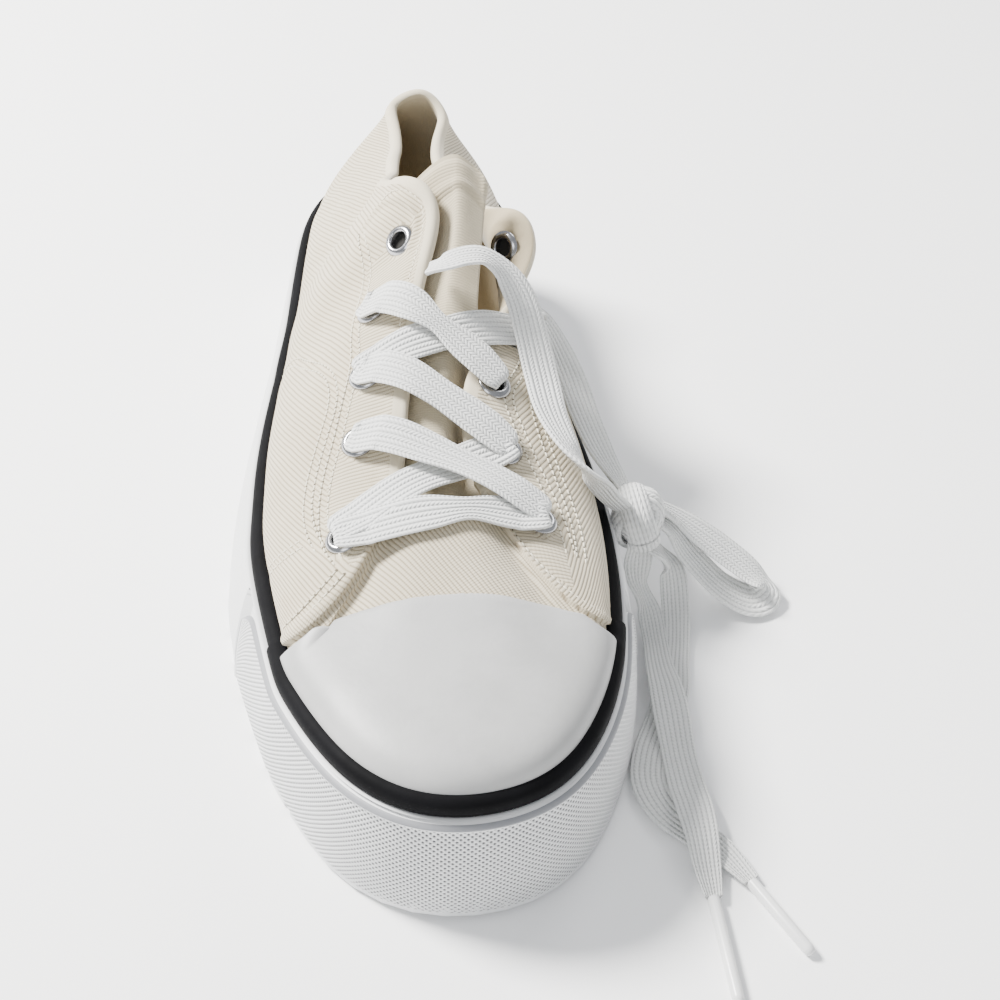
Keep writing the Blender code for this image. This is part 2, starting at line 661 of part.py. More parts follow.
def build_outsole():
    outsole = slab_solid("outsole", UPPER.flare, UPPER.flare, sole_bottom, sole_lid, "white_rubber")
    work = bmesh.new()
    first = HEEL_SETBACK - GROOVE_PITCH / 2
    count = int((LAST_LENGTH - 1.2 * GROOVE_PITCH) / GROOVE_PITCH)
    for number in range(count):
        y = first - number * GROOVE_PITCH
        share = station(y)
        if 0.33 < share < 0.50:
            continue
        made = bmesh.ops.create_cube(work, size=1)
        floor = sole_bottom(y)
        size = Matrix.Diagonal((BALL_WIDTH * 1.6, GROOVE_WIDTH, 2 * GROOVE_DEPTH, 1))
        place = Matrix.Translation((0, y, floor))
        bmesh.ops.transform(work, matrix=place @ size, verts=made["verts"])
    mesh = bpy.data.meshes.new("cut_tread")
    work.to_mesh(mesh)
    work.free()
    cutter = bpy.data.objects.new("cut_tread", mesh)
    bpy.context.scene.collection.objects.link(cutter)
    cutter.hide_render = True
    cutter.display_type = "WIRE"
    cut = outsole.modifiers.new("tread", "BOOLEAN")
    cut.operation = "DIFFERENCE"
    cut.object = cutter


def build_platform():
    """The midsole inside the foxing and the insole inside the upper."""
    slab_solid("midsole", lambda a: 0, lambda a: 0, lambda y: sole_lid(y) + GAP,
               lambda y: profile(SEAT_TOP, y), "foam")
    inside = -UPPER_WALL - 2 * GAP
    slab_solid("insole", lambda a: inside, lambda a: inside, lambda y: profile(SEAT_TOP, y) + GAP,
               lambda y: profile(SEAT_TOP, y) + GAP + INSOLE_THICKNESS, "lining")


def tongue_point(cell, across):
    """A point on the tongue's upper face: across goes from -1 on the outer side to 1 on the inner."""
    side_unit = BALL_WIDTH / 2 / SIDE_PARTS
    up_unit = INSTEP_RISE / INSTEP_PARTS
    reach = cell["inner_reach"] if across > 0 else cell["outer_reach"]
    drop = cell["inner_drop"] if across > 0 else cell["outer_drop"]
    x = (cell["crown_side"] + reach * across) * side_unit
    y = HEEL_SETBACK - cell["along"] * LAST_LENGTH / LENGTH_PARTS
    z = FOXING_TOP[1] + (cell["crown_up"] - drop * abs(across) ** TONGUE_CURVE) * up_unit
    return np.array([x, y, z])


def tongue_cell(share):
    """The tongue's table read at a share of its length, 0 at its root and 1 at its top."""
    table = np.array(TONGUE, dtype=float)
    spot = share * (len(table) - 1)
    index = min(int(spot), len(table) - 2)
    part = spot - index
    before = table[max(index - 1, 0)]
    here = table[index]
    after = table[index + 1]
    beyond = table[min(index + 2, len(table) - 1)]
    start = (after - before) / 2
    stop = (beyond - here) / 2
    values = (here * (2 * part ** 3 - 3 * part ** 2 + 1) + start * (part ** 3 - 2 * part ** 2 + part)
              + after * (3 * part ** 2 - 2 * part ** 3) + stop * (part ** 3 - part ** 2))
    return dict(zip(TONGUE_COLUMNS, values))


def underside_points():
    """Points just inside the quarters and the vamp, which the tongue has to stay below."""
    room = UPPER_WALL + EYELET_SEAT + EYELET_METAL + 2 * GAP
    points = []
    for around in np.arange(RIB_NAMES.index("tab rear outer"), RIB_NAMES.index("second eyelet inner"), 0.1):
        for height in np.arange(0.3, 1.001, 0.02):
            points.append(UPPER.place(around, height) - UPPER.normal(around, height) * room)
    return np.array(points)


def build_tongue():
    """The padded tongue, pressed down where the quarters and the vamp lie over it."""
    steps = 16
    across_steps = 10
    covers = underside_points()
    face = []
    for step in range(steps + 1):
        cell = tongue_cell(step / steps)
        row = []
        for k in range(across_steps + 1):
            point = tongue_point(cell, -1 + 2 * k / across_steps)
            near = np.linalg.norm(covers[:, :2] - point[:2], axis=1) < TONGUE_CLEAR_REACH
            if near.any():
                point[2] = min(point[2], covers[near, 2].min())
            row.append(point)
        face.append(row)
    face = np.array(face)
    along = np.gradient(face, axis=0)
    across = np.gradient(face, axis=1)
    normal = np.cross(across, along)
    normal /= np.linalg.norm(normal, axis=2)[..., None]
    normal[normal[..., 2] < 0] *= -1
    under = face - normal * TONGUE_THICKNESS
    sections = [list(top) + list(bottom[::-1]) for top, bottom in zip(face, under)]
    return bar_solid("tongue", sections, "canvas")


def smooth_run(points, spacing):
    """Points read from a smooth curve through a run's own points, about a spacing apart."""
    fixed = np.array(points, dtype=float)
    padded = np.vstack([2 * fixed[0] - fixed[1], fixed, 2 * fixed[-1] - fixed[-2]])
    run = []
    for i in range(1, len(padded) - 2):
        before, here, after, beyond = padded[i - 1:i + 3]
        pieces = max(1, int(round(np.linalg.norm(after - here) / spacing)))
        for k in range(pieces):
            t = k / pieces
            run.append(0.5 * (2 * here + (after - before) * t
                              + (2 * before - 5 * here + 4 * after - beyond) * t ** 2
                              + (3 * here - before - 3 * after + beyond) * t ** 3))
    run.append(fixed[-1])
    return run


def build_cord(name, points, radius, material_name):
    """A round tube along a smooth run, with filled ends."""
    run = smooth_run(points, 5 * radius)
    curve = bpy.data.curves.new(name, "CURVE")
    curve.dimensions = "3D"
    curve.bevel_depth = radius
    curve.bevel_resolution = CORD_RESOLUTION
    curve.use_fill_caps = True
    spline = curve.splines.new("POLY")
    spline.points.add(len(run) - 1)
    for point, place in zip(spline.points, run):
        point.co = (*place, 1)
    made = bpy.data.objects.new(name, curve)
    bpy.context.scene.collection.objects.link(made)
    curve.materials.append(material(material_name))
    return made


def build_knot():
    """The knot of the bow, a rounded lump between its leads, loop and ends."""
    work = bmesh.new()
    bmesh.ops.create_icosphere(work, subdivisions=2, radius=1)
    for vert in work.verts:
        waist = 1 - KNOT_WAIST * cos(3 * pi * vert.co.y / 2) ** 2
        vert.co.x *= KNOT_SIZE[0] * waist
        vert.co.z *= KNOT_SIZE[2] * waist
        vert.co.y *= KNOT_SIZE[1]
    bmesh.ops.translate(work, verts=work.verts, vec=KNOT_CENTRE)
    mesh = bpy.data.meshes.new("lace_knot")
    work.to_mesh(mesh)
    work.free()
    mesh.shade_smooth()
    return add_object("lace_knot", mesh, "lace")


def cover_points():
    """Points over the quarters, the vamp and the tongue, which the lace has to pass above."""
    points = []
    for around in np.arange(RIB_NAMES.index("tab rear outer"), RIB_NAMES.index("front collar inner"), 0.1):
        for height in np.arange(0.5, 1.001, 0.025):
            proud = quarter_thickness(around, height)
            points.append(UPPER.place(around, height) + UPPER.normal(around, height) * proud)
    for share in np.arange(0, 1.001, 0.02):
        cell = tongue_cell(share)
        points += [tongue_point(cell, across) for across in np.arange(-1, 1.001, 0.1)]
    return np.array(points)


def taut_rail(start, end, cover, clearance):
    """One edge of a strap: pulled tight from start to end over everything that lies below it."""
    line = np.array([start + (end - start) * k / STRAP_STEPS for k in range(STRAP_STEPS + 1)])
    reach = 1.25 * np.linalg.norm((end - start)[:2]) / STRAP_STEPS
    for place in line[1:-1]:
        near = np.linalg.norm(cover[:, :2] - place[:2], axis=1) < reach
        if near.any():
            place[2] = max(place[2], cover[near, 2].max() + clearance)
    for _ in range(STRAP_STEPS ** 2):
        line[1:-1, 2] = np.maximum(line[1:-1, 2], (line[:-2, 2] + line[2:, 2]) / 2)
    return line


def build_lace_crossings():
    """The flat lace between the eyelets: straps pulled over the tongue, joined where they meet."""
    spots = {name: (centre, normal, outside) for name, centre, normal, outside, inside in eyelet_spots()}
    cover = cover_points()
    parts = []
    for number, (start_name, end_name, level, start_shift, end_shift) in enumerate(STRAPS):
        ends = []
        for name, shift in ((start_name, start_shift), (end_name, end_shift)):
            centre, normal, outside = spots[name]
            stack = outside + EYELET_METAL + GAP + LACE_THICKNESS / 2 + level
            ends.append((centre + normal * stack + np.array([0, -shift, 0]), normal))
        (start, start_normal), (end, end_normal) = ends
        along = end - start
        rails = []
        for sign in (-1, 1):
            corners = []
            for centre, normal in ends:
                side = np.cross(along, normal)
                corners.append(centre + side / np.linalg.norm(side) * sign * LACE_WIDTH / 2)
            rails.append(taut_rail(*corners, cover, LACE_THICKNESS / 2 + 2 * GAP + level))
        sections = []
        for left, right in zip(*rails):
            face = np.cross(right - left, along)
            lift = face / np.linalg.norm(face) * LACE_THICKNESS / 2
            if lift[2] < 0:
                lift = -lift
            sections.append([left - lift, right - lift, right + lift, left + lift])
        parts.append(bar_solid(f"strap_{number}", sections, "lace"))
    joined = parts[0]
    joined.name = "lace_crossings"
    for other in parts[1:]:
        other.hide_render = True
        other.display_type = "WIRE"
        join = joined.modifiers.new("join " + other.name, "BOOLEAN")
        join.operation = "UNION"
        join.object = other
    return joined


def knot_end(point):
    """The place where a lace that comes from a point meets the knot."""
    away = np.array(point) - KNOT_CENTRE
    away /= np.linalg.norm(away)
    surface = 1 / np.linalg.norm(away / KNOT_SIZE)
    return tuple(KNOT_CENTRE + away * (surface + 2 * GAP))


def build_free_lace():
    lead_front = LEAD_FRONT + (knot_end(LEAD_FRONT[-1]),)
    lead_rear = LEAD_REAR + (knot_end(LEAD_REAR[-1]),)
    loop = (knot_end(LOOP_RUN[0]),) + LOOP_RUN + (knot_end(LOOP_RUN[-1]),)
    build_cord("lace_lead_front", lead_front, CORD_RADIUS, "lace")
    build_cord("lace_lead_rear", lead_rear, CORD_RADIUS, "lace")
    build_cord("lace_loop", loop, CORD_RADIUS, "lace")
    build_cord("lace_end_long", (knot_end(END_LONG[0]),) + END_LONG, CORD_RADIUS, "lace")
    build_cord("lace_end_short", (knot_end(END_SHORT[0]),) + END_SHORT, CORD_RADIUS, "lace")
    build_cord("lace_tip_long", TIP_LONG, TIP_RADIUS, "lace_tip")
    build_cord("lace_tip_short", TIP_SHORT, TIP_RADIUS, "lace_tip")
    build_knot()


def main():
    clear_scene()
    build_outsole()
    build_platform()
    build_foxing()
    build_bumper()
    build_stripes()
    build_upper()
    build_toe_cap()
    build_tongue()
    for spot in eyelet_spots():
        build_eyelet(spot)
    build_lace_crossings()
    build_free_lace()


main()
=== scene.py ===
"""Dresses the canvas sneaker: a woven upper with sewn panels, a rubber platform sole and toe cap, metal
eyelets, and a flat braided lace that crosses the tongue and is tied beside the shoe.

Metres, +Z up. The toe points to -Y and the inner side of the foot is +X."""

from math import cos, pi, radians, sin

import bmesh
import bpy
import numpy as np
from mathutils import Matrix, Vector


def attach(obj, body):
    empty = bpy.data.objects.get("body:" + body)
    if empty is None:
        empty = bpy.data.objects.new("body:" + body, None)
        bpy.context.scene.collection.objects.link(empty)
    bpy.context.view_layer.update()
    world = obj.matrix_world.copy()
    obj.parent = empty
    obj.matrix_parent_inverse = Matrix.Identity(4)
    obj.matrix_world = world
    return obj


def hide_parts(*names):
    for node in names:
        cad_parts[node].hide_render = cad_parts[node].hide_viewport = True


bl_info = {
    "name": "Canvas sneaker",
    "version": (1, 0, 0),
    "blender": (4, 5, 0),
    "location": "View3D > Sidebar > Sneaker",
    "description": "Builds a canvas sneaker with a platform sole, toe cap, eyelets and a tied lace",
    "category": "Object",
}

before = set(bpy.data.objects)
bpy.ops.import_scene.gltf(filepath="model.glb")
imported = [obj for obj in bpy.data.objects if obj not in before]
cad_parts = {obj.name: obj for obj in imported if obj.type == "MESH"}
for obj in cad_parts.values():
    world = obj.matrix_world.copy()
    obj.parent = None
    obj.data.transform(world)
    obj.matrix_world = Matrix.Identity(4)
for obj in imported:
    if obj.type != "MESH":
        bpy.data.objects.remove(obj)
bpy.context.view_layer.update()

MM = 0.001
GAP = 0.0003

# Heights of the foxing's top edge and of the seat inside it, at heel, ball and toe
FOXING_TOP = (0.0400, 0.0310, 0.0358)
SEAT_TOP = (0.0250, 0.0160, 0.0190)
OUTSOLE_THICKNESS = 0.0050
TOE_SPRING = 0.0015
HEEL_BEVEL = 0.0012
LAST_LENGTH = 0.262
HEEL_SETBACK = 0.035
HEEL_STATION = 0.10
BALL_STATION = 0.64
UPPER_WALL = 0.0018
QUARTER_STEP = 0.0012
CAP_GAP = 0.0011
STRIPE_WIDTH = 0.0038
STRIPE_HEIGHT = 0.0037
LEDGE_WIDTH = 0.0018
LEDGE_DROP = 0.0008
CAP_THICKNESS = 0.0015
CAP_END_ALONG = (218, 213.5, 216)

# One row for each rib of the upper, from the heel round the outer side to the toe and back
RIB_COLUMNS = ("foot_side", "foot_along", "flare", "edge_side", "edge_along", "base", "edge_up",
               "bulge", "rise", "reach", "drop", "forward")
RIBS = (
    (0, 0, 6.5, 4, 13, 40, 35, 1, 14, 2, 10, 0),
    (-13, 2.7, 6.7, -3, 15, 40, 33, 1, 13, 3, 9, 0),
    (-22.5, 13, 7.3, -4.5, 20, 40, 30.5, 0, 11, 3, 8, 0),
    (-28, 30, 8.6, -3.5, 30, 40, 28, 0, 10, 4, 7, 0),
    (-30.3, 48, 9.8, -4, 43, 40, 28.6, 0, 12, 6, 9, 0),
    (-31.8, 66, 11.2, -5.5, 57, 40, 31.6, 0, 12, 7, 10, 0),
    (-33.3, 84, 12.2, -7.5, 73, 40, 36, 0, 12, 6, 11, 0),
    (-35, 97, 12.4, -6, 86, 31, 52.3, 0, 15, 8, 14, 0),
    (-36, 106, 12.4, 0, 96, 31, 57, 0, 16, 9, 16, 0),
    (-37.2, 115, 12.3, 4.2, 105, 31, 52.5, 0, 16, 10, 15, 0),
    (-38.8, 128, 12, 0.5, 120, 31, 43.4, 0, 15, 13, 8, 0),
    (-40.1, 145, 11.8, -3, 137, 31, 35, 0.5, 14, 16, 4, 0),
    (-40.5, 163, 11.5, -6, 159, 31, 28, 0.5, 12, 16, 4, 0),
    (-39.5, 182, 10.8, -7.5, 175, 31, 22, 0.5, 9, 15, 4, 5),
    (-34.2, 213, 8.7, -9, 184, 31, 20.5, 0, 7, 14, 8, 17),
    (-30, 228, 7.6, -6, 186, 31, 22, -0.5, 7, 26, 15, 0),
    (-20, 246.7, 7.5, -2, 187, 31, 22.5, -1, 8, 37, 16, 0),
    (-5.5, 258.4, 6.7, 1.5, 187.5, 31, 22.5, -1, 8, 40, 16, 0),
    (11, 258.7, 6.8, 5, 187, 31, 22.5, -1, 8, 40, 16, 0),
    (25, 249.5, 7.4, 8.5, 186, 31, 22, -1, 8, 37, 16, 0),
    (35, 230, 8.2, 11.5, 184, 31, 20.5, -0.5, 7, 26, 14, 0),
    (39.8, 209, 9.2, 13.5, 179, 31, 18.5, 0, 7, 14, 7, 20),
    (42, 188, 9.8, 11, 171, 31, 18.7, 0.5, 9, 15, 4, 8),
    (42.3, 169, 10, 10, 159, 31, 23, 0.5, 11, 15, 4, 2),
    (41, 149, 10, 12, 145, 31, 27.8, 0.5, 12, 14, 4, 0),
    (38.2, 130, 10, 18, 131, 31, 29.7, 0, 13, 9, 2, 0),
    (35, 113, 10, 27, 112, 31, 35, 0, 14, -12, 3, 0),
    (33.3, 101, 10, 31, 101, 31, 40.6, 0, 15, -14, 3, 0),
    (32, 90, 10, 28, 92, 31, 44.5, 0, 15, -16, 6, 0),
    (31, 77, 9.6, 20, 81, 40, 31.6, 0, 12, -1, 10, 0),
    (30, 61, 9, 12, 63, 40, 29.4, 0, 12, 5, 10, 0),
    (29.2, 43, 8.4, 8.5, 45, 40, 27.5, 0, 12, 6, 9, 0),
    (28, 27, 7.8, 9.3, 30, 40, 27, 0, 12, 5, 8, 0),
    (23, 11.5, 7.1, 11.5, 20, 40, 29, 1, 12, 3, 8, 0),
    (13, 2.6, 6.7, 9.5, 14.7, 40, 32.5, 1, 13, 3, 9, 0),
)
RIB_COUNT = len(RIBS)
FRONT_OUTER = 14
FRONT_INNER = 21
BUMPER_REACH = 0.85
BUMPER_SKIRT = 0.0040
BUMPER_RECESS = 0.0018
WALL_GROOVE = 0.00035

# One row for each eyelet: where it sits around the upper, in ribs, how high up its rib, and how far it
# stands off the wall in front, in millimetres
EYELETS = (
    ("outer_1", 8.8, 0.80, 1.5), ("outer_2", 10.1, 0.74, 1.2), ("outer_3", 11.3, 0.79, 0.5),
    ("outer_4", 12.25, 0.79, 0.5), ("outer_5", 13.42, 0.68, 0.5), ("inner_1", 27.4, 0.80, 2.7),
    ("inner_2", 25.2, 0.80, 1.7), ("inner_3", 24.0, 0.87, 0.7), ("inner_4", 22.85, 0.80, 0.5),
    ("inner_5", 21.9, 0.65, 0.5),
)

# One row for each section of the tongue
TONGUE_COLUMNS = ("along", "crown_side", "crown_up", "outer_reach", "outer_drop", "inner_reach",
                  "inner_drop")
TONGUE = (
    (198, 3, 8.5, 17, 3.5, 17, 3.5),
    (190, 3, 12.5, 18, 4.5, 18, 4.5),
    (180, 3, 17.5, 19, 6, 17, 6),
    (165, 2.5, 23.5, 19, 7, 15, 6),
    (147, 3, 29.5, 20, 9, 12, 4.5),
    (128, 5.5, 38, 20, 14, 9.5, 3.5),
    (110, 8, 49, 20, 20, 9, 5),
    (97, 9.5, 58, 19, 20, 9, 7),
    (90, 10.5, 62.6, 16, 14, 8, 6),
)

# Rows of stitches on the upper: each point gives the place around, in ribs, and the height up the rib.
# The second number of a row is how many threads run side by side
STITCH_ROWS = (
    ("outer panel", 2, ((9.0, 0.10), (9.3, 0.24), (10.05, 0.38), (10.75, 0.56), (11.1, 0.62), (11.45, 0.64),
                        (11.85, 0.60), (12.3, 0.56), (12.75, 0.52), (13.0, 0.50), (13.22, 0.52),
                        (13.42, 0.56))),
    ("outer stay", 2, ((7.1, 0.72), (7.9, 0.66), (8.8, 0.62), (9.7, 0.64), (10.4, 0.68), (11.0, 0.73),
                       (11.5, 0.71), (12.1, 0.68), (12.75, 0.62), (13.15, 0.585), (13.35, 0.585),
                       (13.55, 0.62), (13.72, 0.66))),
    ("outer tab", 1, ((7.0, 0.74), (6.98, 0.86), (7.45, 0.94), (8.1, 0.958), (8.5, 0.958), (8.85, 0.945),
                      (9.25, 0.93), (9.9, 0.925), (10.5, 0.93), (11.0, 0.935))),
    ("outer brace", 2, ((13.2, 0.48), (13.18, 0.34), (13.2, 0.16), (13.22, 0.04))),
    ("outer front", 2, ((13.74, 0.66), (13.78, 0.50), (13.82, 0.34), (13.86, 0.18), (13.88, 0.04))),
    ("inner stay", 2, ((25.9, 0.66), (25.2, 0.68), (24.5, 0.74), (23.9, 0.80), (23.3, 0.70), (22.85, 0.64),
                       (22.35, 0.56), (21.95, 0.50), (21.6, 0.46))),
    ("inner panel", 2, ((25.6, 0.30), (25.0, 0.48), (24.4, 0.64), (23.95, 0.62), (23.4, 0.56), (22.9, 0.50),
                        (22.4, 0.44), (21.95, 0.40), (21.6, 0.40))),
    ("inner front", 1, ((21.2, 0.90), (21.18, 0.70), (21.14, 0.50), (21.12, 0.30), (21.12, 0.06))),
    ("inner tab", 1, ((25.9, 0.80), (26.3, 0.88), (26.9, 0.92), (27.5, 0.93), (28.0, 0.92), (28.4, 0.86),
                      (28.5, 0.74), (28.4, 0.6))),
    ("heel strip outer", 1, ((34.2, 0.05), (34.25, 0.35), (34.4, 0.65), (34.5, 0.95))),
    ("heel strip inner", 1, ((35.8, 0.05), (35.75, 0.35), (35.65, 0.65), (35.5, 0.95))),
)

# Creases and soft bulges of the canvas: two ends, each a place around and a height, then the width and
# the depth in millimetres; a depth below zero is a trough
CREASES = (
    (5.2, 0.95, 5.6, 0.45, 5.0, -0.9),
    (6.1, 0.97, 6.5, 0.50, 4.5, 0.7),
    (6.9, 0.95, 7.2, 0.55, 5.0, -1.0),
    (4.2, 0.9, 4.6, 0.5, 6.0, 0.6),
    (2.4, 0.8, 2.9, 0.25, 6.0, -0.7),
    (7.6, 0.45, 9.5, 0.25, 8.0, 0.6),
    (13.75, 0.75, 13.95, 0.15, 3.0, 0.5),
    (14.15, 0.92, 14.5, 0.45, 4.0, -0.9),
    (14.9, 0.97, 15.4, 0.70, 5.0, 0.5),
    (20.75, 0.93, 20.5, 0.50, 4.0, -0.9),
    (20.1, 0.97, 19.7, 0.72, 5.0, 0.5),
    (16.5, 0.96, 18.5, 0.96, 5.0, -0.5),
    (29.5, 0.9, 29.2, 0.4, 6.0, -0.9),
    (30.6, 0.9, 30.4, 0.5, 5.0, 0.6),
    (32.3, 0.85, 32.0, 0.4, 6.0, -0.6),
)

# Raised ridges of the sewn tabs: places around and heights up the rib
RIDGES = (
    ((7.25, 0.70), (7.25, 0.83), (7.60, 0.895), (8.10, 0.915), (8.50, 0.915), (8.85, 0.898), (9.15, 0.875),
     (9.35, 0.85)),
    ((26.4, 0.74), (26.6, 0.83), (27.0, 0.885), (27.5, 0.90), (28.0, 0.89), (28.3, 0.85)),
)
RIDGE_WIDTH = 0.0009
RIDGE_HEIGHT = 0.0009

# The groove that a seam presses into the canvas: its depth, and its width for one row and for two
SEAM_DEPTH = 0.00022
SEAM_WIDTHS = (0.0011, 0.0021)

# The hem along the upper's top edge, and the welt where the quarters meet the vamp
HEM_HEIGHT = 0.00035
HEM_FROM_EDGE = 0.0022
HEM_WIDTH = 0.0016
HEM_TAPE = 0.0024
WELT_HEIGHT = 0.00045
WELT_FROM_SEAM = 0.0016
WELT_WIDTH = 0.0012
METRES_PER_RIB = 0.020
RIB_SLANT = radians(62)

# The bores for the eyelets: the circle that their edge is moved to, what the mesh leaves out there, and
# how far from the bore's middle an edge point still belongs to it
BORE_RADIUS = 0.0033
BORE_CLEARED = 0.0034
BORE_DEEP = 0.0040
BORE_REACH = 0.0062
BORE_EDGE_DEEP = 0.0045
BORE_EDGE_NEAR = 0.0070

# Rows of the upper's mesh, up its outer face and down its lining
WALL_ROWS = 64
LINING_ROWS = 40

# Angles round a rolled edge, from its outer face to its inner one
EDGE_TURNS = tuple(n * pi / 5 for n in range(1, 5))


def smooth_step(value):
    """A share from 0 to 1 that starts and ends level."""
    value = np.clip(value, 0, 1)
    return value * value * (3 - 2 * value)


def bell(value, width, centre=0.0):
    """A soft hump: 1 at its centre and nearly 0 two widths away."""
    return np.exp(-((value - centre) / width) ** 2)


def profile(sizes, y):
    """A height that goes smoothly from its heel size to its ball size and its toe size."""
    share = (HEEL_SETBACK - y) / LAST_LENGTH
    heel, ball, toe = sizes
    to_ball = smooth_step((share - HEEL_STATION) / (BALL_STATION - HEEL_STATION))
    to_toe = smooth_step((share - BALL_STATION) / (1 - BALL_STATION))
    return heel + (ball - heel) * to_ball + (toe - ball) * to_toe


def unit(vectors):
    return vectors / np.maximum(np.linalg.norm(vectors, axis=-1, keepdims=True), 1e-9)


def periodic_slopes(values):
    """Slopes of the smooth closed curve through evenly counted values."""
    count = len(values)
    system = 4 * np.eye(count) + np.roll(np.eye(count), 1, axis=1) + np.roll(np.eye(count), -1, axis=1)
    change = 3 * (np.roll(values, -1, axis=0) - np.roll(values, 1, axis=0))
    return np.linalg.solve(system, change.reshape(count, -1)).reshape(values.shape)


def rib_points():
    """The four control points of each rib, from the foot line to the top edge."""
    ribs = []
    for row in RIBS:
        cell = dict(zip(RIB_COLUMNS, row))
        foot_y = HEEL_SETBACK - cell["foot_along"] * MM
        foot = np.array([cell["foot_side"] * MM, foot_y, profile(FOXING_TOP, foot_y)])
        edge = np.array([cell["edge_side"] * MM, HEEL_SETBACK - cell["edge_along"] * MM,
                         (cell["base"] + cell["edge_up"]) * MM])
        outward = unit((foot - edge) * (1, 1, 0))
        up = np.array([0, 0, 1])
        toward_toe = np.array([0, -1, 0]) * cell["forward"] * MM
        low = foot + outward * cell["bulge"] * MM + up * cell["rise"] * MM + toward_toe / 2
        high = edge + outward * cell["reach"] * MM - up * cell["drop"] * MM + toward_toe
        ribs.append((foot, low, high, edge))
    return np.array(ribs)


RIB_POINTS = rib_points()
RIB_SLOPES = periodic_slopes(RIB_POINTS)
FLARES = np.array([row[2] * MM for row in RIBS])
FLARE_SLOPES = periodic_slopes(FLARES)


def between(values, slopes, around):
    """Smooth values between ribs, for many places at once."""
    index = np.floor(around).astype(int)
    t = (around - index).reshape(around.shape + (1,) * (values.ndim - 1))
    here = index % RIB_COUNT
    after = (index + 1) % RIB_COUNT
    return (values[here] * (2 * t ** 3 - 3 * t ** 2 + 1) + slopes[here] * (t ** 3 - 2 * t ** 2 + t)
            + values[after] * (3 * t ** 2 - 2 * t ** 3) + slopes[after] * (t ** 3 - t ** 2))


def place(around, height):
    """Points of the upper's outer face."""
    around, height = np.broadcast_arrays(np.asarray(around, float), np.asarray(height, float))
    ribs = between(RIB_POINTS, RIB_SLOPES, around)
    h = height[..., None]
    rest = 1 - h
    return (ribs[..., 0, :] * rest ** 3 + ribs[..., 1, :] * 3 * rest ** 2 * h
            + ribs[..., 2, :] * 3 * rest * h ** 2 + ribs[..., 3, :] * h ** 3)


def outward(around):
    """The level direction out of the foot line."""
    around = np.asarray(around, float)
    along = place(around + 0.05, 0) - place(around - 0.05, 0)
    return unit(np.stack([along[..., 1], -along[..., 0], np.zeros(around.shape)], -1))


def normal(around, height):
    """The direction out of the upper, level at the foot."""
    around, height = np.broadcast_arrays(np.asarray(around, float), np.asarray(height, float))
    across = place(around + 0.02, height) - place(around - 0.02, height)
    up = place(around, np.minimum(height + 0.02, 1)) - place(around, np.maximum(height - 0.02, 0))
    free = smooth_step(height / 0.15)[..., None]
    return unit(unit(np.cross(across, up)) * free + outward(around) * (1 - free))


def outline(around, offset, z):
    """Points beside the foot line, moved out level by an offset, at height z."""
    around, offset, z = np.broadcast_arrays(np.asarray(around, float), offset, z)
    foot = place(around, 0) + outward(around) * offset[..., None]
    foot[..., 2] = z
    return foot


def foot_height(around):
    """The height of the foxing's top edge below each place."""
    return profile(FOXING_TOP, place(around, 0)[..., 1])


def quarter_proud(around, height, edge=0.012):
    """How far the quarters stand proud of the vamp, fading out at the foxing."""
    turn = np.mod(around, RIB_COUNT)
    inside = smooth_step((turn - FRONT_OUTER) / edge) * smooth_step((FRONT_INNER - turn) / edge)
    return QUARTER_STEP * smooth_step(height / 0.12) * (1 - inside)


def distance_to_run(points, run):
    """The distance of many points from a run of straight pieces."""
    best = np.full(points.shape[:-1], 1.0)
    for a, b in zip(run[:-1], run[1:]):
        line = b - a
        share = np.clip(((points - a) @ line) / max(line @ line, 1e-12), 0, 1)
        best = np.minimum(best, np.linalg.norm(points - (a + share[..., None] * line), axis=-1))
    return best


def lengths_along(points):
    """The length of a run up to each of its points."""
    return np.concatenate([[0], np.cumsum(np.linalg.norm(np.diff(points, axis=0), axis=-1))])


def spline(rows, spacing):
    """Values read from a smooth curve through rows of numbers; the first three are a point."""
    fixed = np.array(rows, dtype=float)
    padded = np.vstack([2 * fixed[0] - fixed[1], fixed, 2 * fixed[-1] - fixed[-2]])
    run = []
    for i in range(1, len(padded) - 2):
        before, here, after, beyond = padded[i - 1:i + 3]
        pieces = max(1, int(round(np.linalg.norm((after - here)[:3]) / spacing)))
        t = (np.arange(pieces) / pieces)[:, None]
        run.append(0.5 * (2 * here + (after - before) * t
                          + (2 * before - 5 * here + 4 * after - beyond) * t ** 2
                          + (3 * here - before - 3 * after + beyond) * t ** 3))
    return np.vstack(run + [fixed[-1:]])


def finish_mesh(name, points, faces, material, uv=None, sharp=50, slots=None):
    """A smooth piece from points and faces, with cloth coordinates in metres for its weave."""
    mesh = bpy.data.meshes.new(name)
    mesh.from_pydata(np.asarray(points).tolist(), [], faces)
    if uv is not None:
        layer = mesh.uv_layers.new(name="cloth")
        layer.data.foreach_set("uv", np.asarray(uv, dtype=np.float32).ravel())
    materials = material if isinstance(material, (list, tuple)) else [material]
    for one in materials:
        mesh.materials.append(one)
    if slots is not None:
        mesh.polygons.foreach_set("material_index", np.asarray(slots, dtype=np.int32))
    work = bmesh.new()
    work.from_mesh(mesh)
    bmesh.ops.recalc_face_normals(work, faces=work.faces)
    work.to_mesh(mesh)
    work.free()
    mesh.shade_smooth()
    mesh.set_sharp_from_angle(angle=radians(sharp))
    piece = bpy.data.objects.new(name, mesh)
    bpy.context.scene.collection.objects.link(piece)
    return piece


